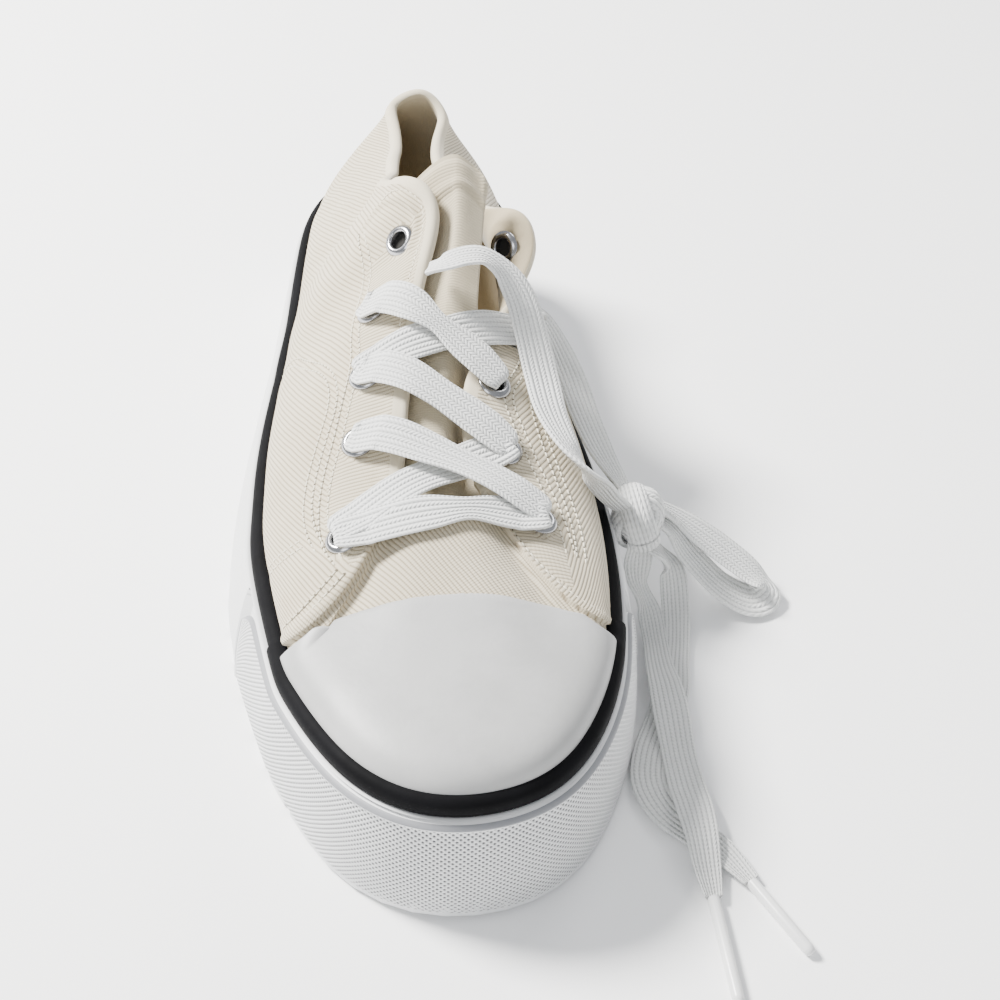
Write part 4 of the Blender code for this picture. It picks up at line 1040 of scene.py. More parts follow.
class SNEAKER_OT_toe_cap(Maker):
    """Moulds the smooth rubber cap over the toe, with a thin rounded back edge"""
    bl_idname = "sneaker.toe_cap"
    bl_label = "Toe cap"

    def build(self, sizes, colours, stage):
        around = toe_columns(FRONT_OUTER + 0.022, FRONT_INNER - 0.022, 0.03)
        outer_end, middle_end, inner_end = CAP_END_ALONG
        across = (around - around[0]) / (around[-1] - around[0])
        corner = outer_end + (inner_end - outer_end) * across
        crown = np.sin(pi * np.clip(across, 0, 1)) ** 0.55
        stop = corner + (middle_end - (outer_end + inner_end) / 2) * crown
        stop_y = HEEL_SETBACK - stop * MM
        grid = np.linspace(0, 0.97, 400)
        sections = []
        for a, y in zip(around, stop_y):
            rib = place(np.full(grid.shape, a), grid)
            low = grid[np.argmax(rib[:, 2] >= rib[0, 2] - 0.0004)]
            high = max(grid[np.argmax(rib[:, 1] >= y)], low + 0.02)
            steps = low + (high - low) * np.linspace(0, 1, 40)
            spot = place(np.full(steps.shape, a), steps)
            out = normal(np.full(steps.shape, a), steps)
            thick = CAP_GAP + CAP_THICKNESS
            skin = spot + out * thick
            back = unit(spot[-1] - spot[-2])
            edge = [spot[-1] + out[-1] * (CAP_GAP + CAP_THICKNESS * (0.5 + 0.5 * cos(t)))
                    + back * 0.00075 * sin(t) for t in EDGE_TURNS]
            under = spot[::-3] + out[::-3] * CAP_GAP
            sections.append(np.vstack([skin, edge, under]))
        piece = grid_piece("rubber_toe_cap", np.array(sections), Shop.get("cap rubber"), tube=True,
                           caps=True)
        keep(piece, "white_rubber", "toe_cap")


def wall_shape(around, share, inset):
    """Points on the foxing's outer wall: share goes from 0 at its ledge to 1 at the outsole."""
    foot_z = foot_height(around)
    foot_y = place(around, 0)[..., 1]
    low = OUTSOLE_THICKNESS + profile((HEEL_BEVEL, 0, TOE_SPRING), foot_y) + GAP
    shoulder_out = GAP + STRIPE_WIDTH + LEDGE_WIDTH
    shoulder_up = foot_z - STRIPE_HEIGHT - GAP - LEDGE_DROP
    flare = np.maximum(between(FLARES, FLARE_SLOPES, around), shoulder_out)
    out = shoulder_out + (flare - shoulder_out) * share + 0.0006 * 4 * share * (1 - share) - inset
    return outline(around, out, shoulder_up + (low - shoulder_up) * share)


class SNEAKER_OT_sole(Maker):
    """Moulds the platform's white wall, its black line and the grained toe bumper, and gives the outsole,
    midsole and insole their finishes
    """
    bl_idname = "sneaker.sole"
    bl_label = "Sole"

    def build(self, sizes, colours, stage):
        self.wall()
        self.stripes()
        self.bumper(sizes)
        self.carried_over()

    def wall(self):
        """The white wall with its ledge, its two grooves and the bumper's recess."""
        steps = 12
        around = np.arange(RIB_COUNT * steps) / steps
        limits = (FRONT_OUTER - BUMPER_REACH, FRONT_INNER + BUMPER_REACH)
        around = np.array(sorted([a for a in around if min(abs(a - limit) for limit in limits) > 0.05]
                                 + [limit + d for limit in limits for d in (-0.045, -0.02, 0.02, 0.045)]))
        inside = (around > limits[0]) & (around < limits[1])
        recess = np.where(inside, BUMPER_RECESS + GAP, 0.0)
        foot_z = foot_height(around)
        foot_y = place(around, 0)[:, 1]
        low = OUTSOLE_THICKNESS + profile((HEEL_BEVEL, 0, TOE_SPRING), foot_y) + GAP
        bed = foot_z - STRIPE_HEIGHT - GAP
        full = np.ones(len(around))
        rows = [outline(around, full * GAP, low), outline(around, full * GAP, bed)]
        lip = ((0.0003, 0.0), (0.0007, 0.0002), (0.0012, 0.0), (0.0016, -0.0004))
        edge = GAP + STRIPE_WIDTH
        rows += [outline(around, full * (edge + out) - recess * (out > 0.0014), bed + up) for out, up in lip]
        shares = (0.012, 0.03, 0.05, 0.058, 0.066, 0.075, 0.1, 0.2, 0.35, 0.5, 0.65, 0.8, 0.9, 0.955, 0.962,
                  0.97, 1)
        for share in shares:
            groove = WALL_GROOVE * ((share == 0.058) + (share == 0.962)) * ~inside
            rows.append(wall_shape(around, np.full(len(around), share), recess + groove))
        points = np.stack(rows, 1)
        piece = grid_piece("sole_wall", points, Shop.get("white rubber"), ring=True, tube=True, sharp=60)
        keep(piece, "white_rubber", "foxing")

    def stripes(self):
        """The black line, in one part round the heel and sides and a thicker one round the toe."""
        shape = [(0.0, 0.0), (0.92, 0.0), (1.0, 0.12), (1.04, 0.40), (0.97, 0.70), (0.78, 0.92),
                 (0.50, 1.04), (0.22, 1.06), (0.0, 0.98)]
        runs = (("line_side", FRONT_INNER + 0.04, FRONT_OUTER - 0.04 + RIB_COUNT, 0.0, "side_stripe"),
                ("line_toe", FRONT_OUTER - 0.03, FRONT_INNER + 0.03, 0.00070, "toe_stripe"))
        for name, start, end, extra, node in runs:
            around = toe_columns(start, end, 1 / 12)
            foot_z = foot_height(around)
            rows = [outline(around, np.full(len(around), GAP + STRIPE_WIDTH * out + extra * (out > 0.3)),
                            foot_z - STRIPE_HEIGHT * (1 - up) + extra * (up > 0.3)) for out, up in shape]
            piece = grid_piece(name, np.stack(rows, 1), Shop.get("black rubber"), tube=True, caps=True,
                               sharp=70)
            keep(piece, "black_rubber", node)

    def bumper(self, sizes):
        """The grained band round the toe: four columns and rows to each pair of staggered pits."""
        start = FRONT_OUTER - BUMPER_REACH + 0.07
        end = FRONT_INNER + BUMPER_REACH - 0.07
        fine = toe_columns(start, end, 0.005)
        length = lengths_along(wall_shape(fine, np.full(len(fine), 0.6), 0.0))
        pitch = sizes.pip_pitch
        count = int(length[-1] / pitch) * 4
        along = np.arange(count + 1) / count * length[-1]
        around = np.interp(along, length, fine)
        rows = 78
        ends_of_wall = [wall_shape(fine, np.full(len(fine), at), 0.0) for at in (0.0, 1.0)]
        tall = np.linalg.norm(ends_of_wall[1] - ends_of_wall[0], axis=-1).mean()
        reach = 1 + BUMPER_SKIRT / tall
        share = np.linspace(0, reach, rows + 1)
        ends = np.minimum(along, length[-1] - along)
        corner = 0.30 * (1 - np.minimum(ends / 0.011, 1)) ** 2.2
        turn, down = np.meshgrid(around, share, indexing="ij")
        level = corner[:, None] * (1 - down / reach) + down
        base = wall_shape(turn, level, -0.0003)
        out = outward(around)[:, None, :]
        index = np.arange(count + 1)[:, None]
        step = np.arange(rows + 1)[None, :]
        pits = ((index % 4 == 0) & (step % 4 == 0)) | ((index % 4 == 2) & (step % 4 == 2))
        near_pits = (index + step) % 2 == 0
        from_top = down * tall
        from_end = ends[:, None] + 0 * from_top
        border = np.minimum(from_top, from_end)
        grain = smooth_step((border - 0.0016) / 0.0006) * smooth_step((reach - 0.01 - down) / 0.02)
        height = np.where(pits, -sizes.pip_depth, np.where(near_pits, 0.00004, 0.0))
        lip = 0.00035 * bell(border, 0.0006, 0.0009)
        round_off = -0.0006 * (1 - smooth_step(border / 0.0007))
        skin = base + out * (height * grain + lip + round_off)[..., None]
        rear = [rows, 68, 66, 45, 22, 0]
        back = wall_shape(turn[:, rear], level[:, rear], np.where(level[:, rear] > 1, -0.0001, 0.0017))
        points = np.concatenate([skin, back], 1)
        quads, i, k = grid_faces(points.shape[0], points.shape[1], tube=True)
        corners = ((i, k), (i + 1, k), (i + 1, k + 1), (i, k + 1))
        cloth = np.stack([np.stack([a / 4, b / 4], -1) for a, b in corners], 1)
        row = np.minimum(k, rows)
        plain = (k >= rows) | (from_end[i, row] < 0.0014) | (from_top[0, row] < 0.0014)
        cloth[plain] = (0.25, 0.0)
        # Painted shadow: faces within 0.85 mm of the bumper's top and ends, and its end caps, take the grey
        # lip finish.
        edge = np.minimum(from_top[np.minimum(i, count), row], from_end[i, row])
        slots = np.where((edge < 0.00085) & (k < rows), 1, 0)
        faces = quads.tolist()
        columns = points.shape[1]
        last = (points.shape[0] - 1) * columns
        faces += [list(range(columns)), [last + c for c in reversed(range(columns))]]
        cloth = np.vstack([cloth.reshape(-1, 2), np.tile((0.25, 0.0), (2 * columns, 1))])
        piece = finish_mesh("grained_toe_bumper", points.reshape(-1, 3), faces,
                            [Shop.get("grained rubber"), Shop.get("lip rubber")], cloth, 80,
                            np.concatenate([slots, [1, 1]]))
        keep(piece, "white_rubber", "toe_bumper")

    def carried_over(self):
        """The CAD pieces that show as they are take their finishes."""
        for node, finish in (("outsole", "white rubber"), ("midsole", "foam"), ("insole", "lining")):
            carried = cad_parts[node]
            carried.data.materials.clear()
            carried.data.materials.append(Shop.get(finish))


def tongue_rows(share):
    """The tongue's table read from a smooth curve through its sections."""
    table = np.array(TONGUE, dtype=float)
    spot = share * (len(table) - 1)
    index = np.minimum(spot.astype(int), len(table) - 2)
    t = (spot - index)[:, None]
    before = table[np.maximum(index - 1, 0)]
    here = table[index]
    after = table[index + 1]
    beyond = table[np.minimum(index + 2, len(table) - 1)]
    return (here * (2 * t ** 3 - 3 * t ** 2 + 1) + (after - before) / 2 * (t ** 3 - 2 * t ** 2 + t)
            + after * (3 * t ** 2 - 2 * t ** 3) + (beyond - here) / 2 * (t ** 3 - t ** 2))


def neighbours(grid):
    """The mean of the four neighbours of each inner cell."""
    return (grid[:-2, 1:-1] + grid[2:, 1:-1] + grid[1:-1, :-2] + grid[1:-1, 2:]) / 4


class SNEAKER_OT_tongue(Maker):
    """Sews the padded tongue, with its hemmed top"""
    bl_idname = "sneaker.tongue"
    bl_label = "Tongue"

    def build(self, sizes, colours, stage):
        share = np.linspace(0, 1, 110)
        across = np.linspace(-1, 1, 61)
        cells = dict(zip(TONGUE_COLUMNS, tongue_rows(share).T[:, :, None]))
        side = across[None, :]
        reach = np.where(side > 0, cells["inner_reach"], cells["outer_reach"])
        drop = np.where(side > 0, cells["inner_drop"], cells["outer_drop"])
        x = (cells["crown_side"] + reach * side) * MM
        y = HEEL_SETBACK - cells["along"] * MM + 0 * x
        bend = (np.sqrt(side ** 2 + 0.36) - 0.6) / (np.sqrt(1.36) - 0.6)
        z = FOXING_TOP[1] + (cells["crown_up"] - drop * bend) * MM
        near_top = smooth_step((share[:, None] - 0.70) / 0.30)
        corner = np.clip((np.abs(side) - 0.55) / 0.45, 0, 1) ** 2 * near_top
        y = y - 0.0032 * corner
        top = np.stack([x, y, self.pressed(x, y, z)], -1)
        along_way = np.gradient(top, axis=0)
        side_way = np.gradient(top, axis=1)
        out = unit(np.cross(side_way, along_way))
        out *= np.sign(out[:, 30, 2].mean())
        from_top = (cells["along"] - TONGUE[-1][0]) * MM
        ridge = 0.0006 * bell(from_top, 0.0009, 0.0062) - 0.00035 * bell(from_top, 0.0007, 0.0078)
        rounding = (-0.0009 * (np.clip((np.abs(side) - 0.93) / 0.07, 0, 1) ** 2)
                    - 0.0009 * (1 - smooth_step(from_top / 0.0018)))
        skin = top + out * (ridge + rounding)[..., None]
        under = top - out * (0.0025 + rounding * 0.6)[..., None]
        points = np.concatenate([skin, under[:, ::-1]], 1)
        cloth = np.stack([np.concatenate([side * 0.02 + 0 * x, (side * 0.02 + 0 * x)[:, ::-1]], 1),
                          np.concatenate([y, y[:, ::-1]], 1)], -1)[..., ::-1]
        piece = grid_piece("padded_tongue", points, Shop.get("tongue canvas"), tube=True, caps=True,
                           cloth=cloth, sharp=70)
        keep(piece, "canvas", "tongue")

    def pressed(self, x, y, z):
        """The tongue's heights where the quarters press it down, smooth from there to where it is free."""
        turn, tall = np.meshgrid(np.arange(8.6, 24.4, 0.05), np.linspace(0.3, 1.0, 60), indexing="ij")
        covers = (place(turn, tall) - normal(turn, tall) * 0.0032).reshape(-1, 3)
        low = np.full(x.shape, 1.0)
        for r in range(x.shape[0]):
            close = covers[np.abs(covers[:, 1] - y[r].mean()) < 0.004]
            if len(close):
                far = np.hypot(close[:, 0][None] - x[r][:, None], close[:, 1][None] - y[r][:, None])
                low[r] = np.where(far < 0.0022, close[:, 2][None], 1.0).min(1)
        for _ in range(3):
            low[1:-1, 1:-1] = np.minimum(low[1:-1, 1:-1], neighbours(low))
        heights = np.minimum(z, low)
        for _ in range(45):
            heights[1:-1, 1:-1] = np.minimum(low[1:-1, 1:-1], neighbours(heights))
        return heights


def frame_on(direction):
    """A turn that takes +Z to a direction."""
    return Vector(direction).to_track_quat("Z", "Y").to_matrix()


def ring_points(centre, turn, radius, rise, sides):
    """A circle on a turned frame, with its radius and its rise in millimetres."""
    return [list(centre + turn @ Vector((radius * MM * cos(2 * pi * s / sides),
                                         radius * MM * sin(2 * pi * s / sides), rise * MM)))
            for s in range(sides)]


# Profiles of an eyelet's turned ring and of the dark plug that paints the shade in its bore, as radius and
# rise in millimetres
EYELET_PROFILE = ((2.35, -2.6), (2.35, 0.15), (2.5, 0.55), (2.85, 0.78), (3.3, 0.82), (3.8, 0.62),
                  (4.3, 0.22), (4.55, -0.15), (4.5, -0.35), (3.0, -0.4), (2.9, -2.6))
BORE_SHADE_PROFILE = ((2.38, -2.3), (2.38, -1.3), (1.6, -1.42), (0.6, -1.5))


class SNEAKER_OT_eyelets(Maker):
    """Sets the turned metal eyelets, with a dark disc in each bore that paints the shade in the hole"""
    bl_idname = "sneaker.eyelets"
    bl_label = "Eyelets"

    def build(self, sizes, colours, stage):
        for name, around, height, front in EYELETS:
            spot, out = surface_point(around, height)
            spot, out = spot[0], out[0]
            stand = max(front - 0.9, 0.15) * MM
            if name == "inner_1":
                out = -normal(around, height)
                spot = place(around, height) + out * UPPER_WALL
                stand = 0.0006
            turn = frame_on(out)
            centre = Vector(spot) + Vector(out) * stand
            turned = np.array([ring_points(centre, turn, r, z, 36) for r, z in EYELET_PROFILE])
            ring = grid_piece("metal_eyelet_" + name, turned.transpose(1, 0, 2), Shop.get("nickel"),
                              ring=True, tube=True, sharp=70)
            keep(ring, "nickel", "eyelet_" + name)
            # Painted shade: a near-black disc deep in each bore stands for the shade in the hole.
            plug = np.array([ring_points(centre, turn, r, z, 18) for r, z in BORE_SHADE_PROFILE])
            shade = grid_piece("bore_shade_" + name, plug, Shop.get("dark"), tube=True, caps=True)
            keep(shade, "nickel")


# Half of the braid's width in its own cloth coordinates
BRAID_HALF = 0.0042


def ribbon(name, centres, widths, sides, thickness, finish, pinch, cords=7):
    """A flat braid along a run: widths across, side directions, how far it cups, and shallow cords."""
    along = unit(np.gradient(centres, axis=0))
    sides = unit(sides - (sides * along).sum(-1, keepdims=True) * along)
    faces = unit(np.cross(along, sides))
    steps = 4 * cords + 1
    across = np.linspace(-1, 1, steps)
    cord = 0.00011 * np.abs(np.sin(across * cords * pi / 2))
    body = (1 - np.abs(across) ** 6) ** 0.5 * thickness / 2
    top = body + cord * (1 - across ** 4)
    half = widths[:, None] / 2
    bend = pinch[:, None] * (across ** 2 - 0.35)[None]
    spread = centres[:, None] + sides[:, None] * (half * across)[..., None]
    upper = spread + faces[:, None] * (bend + top)[..., None]
    lower = spread + faces[:, None] * (bend - top)[..., None]
    points = np.concatenate([upper, lower[:, ::-1][:, 1:-1]], 1)
    length = lengths_along(centres)
    flat = np.concatenate([across, across[::-1][1:-1]]) * BRAID_HALF
    cloth = np.stack([np.broadcast_to(flat, points.shape[:2]),
                      np.broadcast_to(length[:, None], points.shape[:2])], -1)
    return grid_piece(name, points, Shop.get(finish), tube=True, caps=True, cloth=cloth, sharp=80)


# One row for each strap between the eyelets: its two eyelets, how high it lies over the others in
# millimetres, how far each end is shifted toward the toe in millimetres, and where it is drawn narrow
STRAPS = (
    ("outer_5", "inner_5", 0.2, 1.0, 1.0, 0.62, 0.35),
    ("outer_4", "inner_5", 1.9, 0.0, -1.2, 0.55, 0.12),
    ("inner_4", "outer_5", 0.0, 0.0, -1.0, 0.50, 0.10),
    ("outer_3", "inner_4", 1.8, 0.0, 0.0, 0.55, 0.10),
    ("inner_2", "outer_3", 0.0, 0.0, 0.0, 0.50, 0.10),
    ("outer_2", "inner_3", 1.8, 0.0, 0.0, 0.55, 0.38),
)


# How a strap comes up out of its eyelet: the height over the canvas and the way toward the other end,
# in millimetres
DIVE = ((-3.0, 0.4), (-0.6, -0.6), (0.8, -0.9), (1.5, 0.8))


def cover_cloud():
    """Points of everything that lies under the straps: the quarters' edges and the tongue."""
    turn, tall = np.meshgrid(np.arange(7, 29, 0.08), np.arange(0.5, 1.001, 0.02), indexing="ij")
    shell = place(turn, tall) + normal(turn, tall) * quarter_proud(turn, tall)[..., None]
    cells = dict(zip(TONGUE_COLUMNS, tongue_rows(np.linspace(0, 0.97, 60)).T[:, :, None]))
    side = np.linspace(-1, 1, 21)[None]
    reach = np.where(side > 0, cells["inner_reach"], cells["outer_reach"])
    drop = np.where(side > 0, cells["inner_drop"], cells["outer_drop"])
    x = (cells["crown_side"] + reach * side) * MM
    y = HEEL_SETBACK - cells["along"] * MM + 0 * x
    z = FOXING_TOP[1] + (cells["crown_up"] - drop * np.abs(side) ** 1.6) * MM
    return np.vstack([shell.reshape(-1, 3), np.stack([x, y, z], -1).reshape(-1, 3)])


def pulled_tight(start, end, cover, clearance, steps=26):
    """One edge of a strap: pulled tight from start to end over everything that lies below it."""
    share = np.linspace(0, 1, steps + 1)[:, None]
    line = start + (end - start) * share
    reach = max(1.25 * np.linalg.norm((end - start)[:2]) / steps, 0.0022)
    for spot in line[1:-1]:
        near = np.linalg.norm(cover[:, :2] - spot[:2], axis=1) < reach
        if near.any():
            spot[2] = max(spot[2], cover[near, 2].max() + clearance)
    for _ in range(steps ** 2):
        line[1:-1, 2] = np.maximum(line[1:-1, 2], (line[:-2, 2] + line[2:, 2]) / 2)
    for _ in range(5):
        line[1:-1, 2] = (line[:-2, 2] + 2 * line[1:-1, 2] + line[2:, 2]) / 4
    return line


class SNEAKER_OT_straps(Maker):
    """Runs the flat lace across the tongue from eyelet to eyelet"""
    bl_idname = "sneaker.straps"
    bl_label = "Crossing lace"

    def build(self, sizes, colours, stage):
        spots = {name: (around, height, front * MM) for name, around, height, front in EYELETS}
        cover = cover_cloud()
        made = []
        for number, (first, last, level, shift_a, shift_b, narrow_at, narrow) in enumerate(STRAPS):
            ends = []
            for name, shift in ((first, shift_a), (last, shift_b)):
                around, height, front = spots[name]
                spot, out = surface_point(around, height, 0.0012)
                ends.append((spot[0] + np.array([0, -shift * MM, 0]), out[0]))
            (start, start_out), (end, end_out) = ends
            along = end - start
            rails = []
            for sign in (-1, 1):
                corners = []
                for centre, out in ends:
                    side = unit(np.cross(along, out))
                    corners.append(centre + side * sign * sizes.lace_width / 2)
                rails.append(pulled_tight(*corners, cover, (0.8 + level) * MM))
            left, right = rails
            middle = (left + right) / 2
            sides = unit(right - left)
            share = np.linspace(0, 1, len(middle))
            level_lift = level * MM * 0.5 * np.sin(pi * share) ** 0.7
            middle = middle + np.array([0, 0, 1]) * level_lift[:, None]
            width = sizes.lace_width * (1 - narrow * np.exp(-((share - narrow_at) / 0.13) ** 2))
            toward = unit(along)
            dive_a = [start + start_out * up * MM + toward * ahead * MM for up, ahead in DIVE]
            dive_b = [end + end_out * up * MM - toward * ahead * MM for up, ahead in reversed(DIVE)]
            body = middle[3:-3]
            centres = np.vstack([dive_a, body, dive_b])
            side_all = np.vstack([np.repeat(sides[:1], 4, 0), sides[3:-3], np.repeat(sides[-1:], 4, 0)])
            gather = np.array((0.38, 0.42, 0.66, 0.90)) * sizes.lace_width
            widths = np.concatenate([gather, width[3:-3], gather[::-1]])
            rows = spline(np.hstack([centres, side_all, widths[:, None]]), 0.0007)
            made.append(ribbon(f"lace_strap_{number + 1}", rows[:, :3], rows[:, 6], rows[:, 3:6],
                               sizes.lace_thickness, "lace", np.full(len(rows), -0.0004)))
        for piece in made:
            keep(piece, "lace")
        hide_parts("lace_crossings")


# The free runs of the lace. Each row is a point, in metres, the lace's width there in millimetres and
# the turn of its flat side from level, in degrees
LEAD_FRONT = (
    (0.0020, -0.0890, 0.0785, 7.0, 10), (0.0060, -0.0895, 0.0805, 8.4, 10),
    (0.0110, -0.0880, 0.0815, 8.8, 5), (0.0165, -0.0865, 0.0805, 8.8, 0),
    (0.0220, -0.0875, 0.0760, 8.8, 0), (0.0260, -0.0915, 0.0700, 8.6, 0),
    (0.0285, -0.0975, 0.0625, 8.4, 5), (0.0303, -0.1060, 0.0565, 8.6, 10),
    (0.0320, -0.1170, 0.0525, 8.8, 20), (0.0355, -0.1275, 0.0495, 8.8, 35),
    (0.0405, -0.1320, 0.0445, 8.4, 45), (0.0455, -0.1315, 0.0370, 7.0, 45),
    (0.0503, -0.1297, 0.0308, 5.8, 40), (0.0530, -0.1287, 0.0282, 4.6, 40),
)
LEAD_REAR = (
    (0.0285, -0.0845, 0.0630, 8.0, 0), (0.0312, -0.0815, 0.0600, 8.4, 0),
    (0.0345, -0.0820, 0.0550, 8.6, 0), (0.0382, -0.0850, 0.0485, 8.6, 5),
    (0.0413, -0.0910, 0.0430, 8.6, 10), (0.0438, -0.1000, 0.0385, 8.6, 15),
    (0.0468, -0.1085, 0.0343, 8.4, 20), (0.0498, -0.1150, 0.0312, 7.6, 30),
    (0.0520, -0.1205, 0.0295, 6.0, 40), (0.0540, -0.1240, 0.0278, 4.6, 40),
)
LOOP_RUN = (
    (0.0560, -0.1262, 0.0285, 5.2, 0), (0.0615, -0.1232, 0.0255, 6.6, 0),
    (0.0690, -0.1224, 0.0195, 9.2, 0), (0.0790, -0.1258, 0.0130, 10.2, 0),
    (0.0870, -0.1302, 0.0080, 10.4, 10), (0.0905, -0.1336, 0.0050, 9.4, 35),
    (0.0865, -0.1356, 0.0028, 10.0, 12), (0.0785, -0.1332, 0.0060, 10.2, 0),
    (0.0700, -0.1296, 0.0140, 9.0, 0), (0.0640, -0.1268, 0.0215, 6.8, 0),
    (0.0570, -0.1268, 0.0262, 5.2, 0),
)
END_LONG = (
    (0.0545, -0.1300, 0.0245, 5.6, 30), (0.0547, -0.1340, 0.0205, 7.4, 30),
    (0.0545, -0.1375, 0.0130, 7.0, 20), (0.0575, -0.1415, 0.0055, 6.6, 10),
    (0.0583, -0.1490, 0.0022, 5.8, 0), (0.0578, -0.1590, 0.0032, 6.4, 0), (0.0577, -0.1680, 0.0050, 7.6, 0),
    (0.0577, -0.1770, 0.0050, 8.2, 0), (0.0578, -0.1880, 0.0030, 7.6, 0), (0.0579, -0.1990, 0.0036, 8.0, 0),
    (0.0582, -0.2070, 0.0050, 8.0, 0), (0.0584, -0.2150, 0.0050, 7.0, 0), (0.0586, -0.2230, 0.0026, 5.6, 0),
    (0.0587, -0.2300, 0.0018, 3.6, 0),
)
END_SHORT = (
    (0.0565, -0.1296, 0.0245, 5.6, 0), (0.0590, -0.1324, 0.0205, 7.0, 0),
    (0.0640, -0.1330, 0.0130, 7.0, 0), (0.0650, -0.1400, 0.0050, 6.8, 0),
    (0.0640, -0.1490, 0.0017, 6.4, 0), (0.0622, -0.1570, 0.0016, 7.0, 0), (0.0600, -0.1665, 0.0016, 8.0, 0),
    (0.0560, -0.1775, 0.0016, 8.4, 0), (0.0517, -0.1875, 0.0016, 8.6, 0), (0.0500, -0.1965, 0.0016, 8.6, 0),
    (0.0524, -0.2050, 0.0016, 8.4, 0), (0.0578, -0.2115, 0.0016, 8.0, 0), (0.0635, -0.2180, 0.0016, 6.4, 0),
    (0.0680, -0.2260, 0.0016, 3.6, 0),
)
TIP_LONG = ((0.0587, -0.2296, 0.0018), (0.0593, -0.2570, 0.0016))
TIP_SHORT = ((0.0680, -0.2258, 0.0016), (0.0775, -0.2455, 0.0016))
KNOT_CENTRE = np.array((0.0549, -0.1277, 0.0262))

# The width in these tables, in millimetres, at which the lace lies fully open
FREE_FULL_WIDTH = 8.8


def free_ribbon(name, table, sizes):
    """A free run of the lace from its table, with its path and its length."""
    rows = spline(table, 0.0008)
    centres = rows[:, :3]
    along = unit(np.gradient(centres, axis=0))
    level = unit(np.cross(along, np.array([0, 0, 1.0])))
    over = np.cross(level, along)
    turn = np.radians(rows[:, 4])[:, None]
    sides = level * np.cos(turn) + over * np.sin(turn)
    share = np.minimum(rows[:, 3] / FREE_FULL_WIDTH, 1.15)
    widths = share * (sizes.lace_width - 0.0006)
    folded = np.maximum(1 - share, 0)
    cup = -0.0016 * folded - 0.0003
    piece = ribbon(name, centres, widths, sides, sizes.lace_thickness, "lace", cup)
    length = float(np.linalg.norm(np.diff(centres, axis=0), axis=-1).sum())
    return piece, centres, length


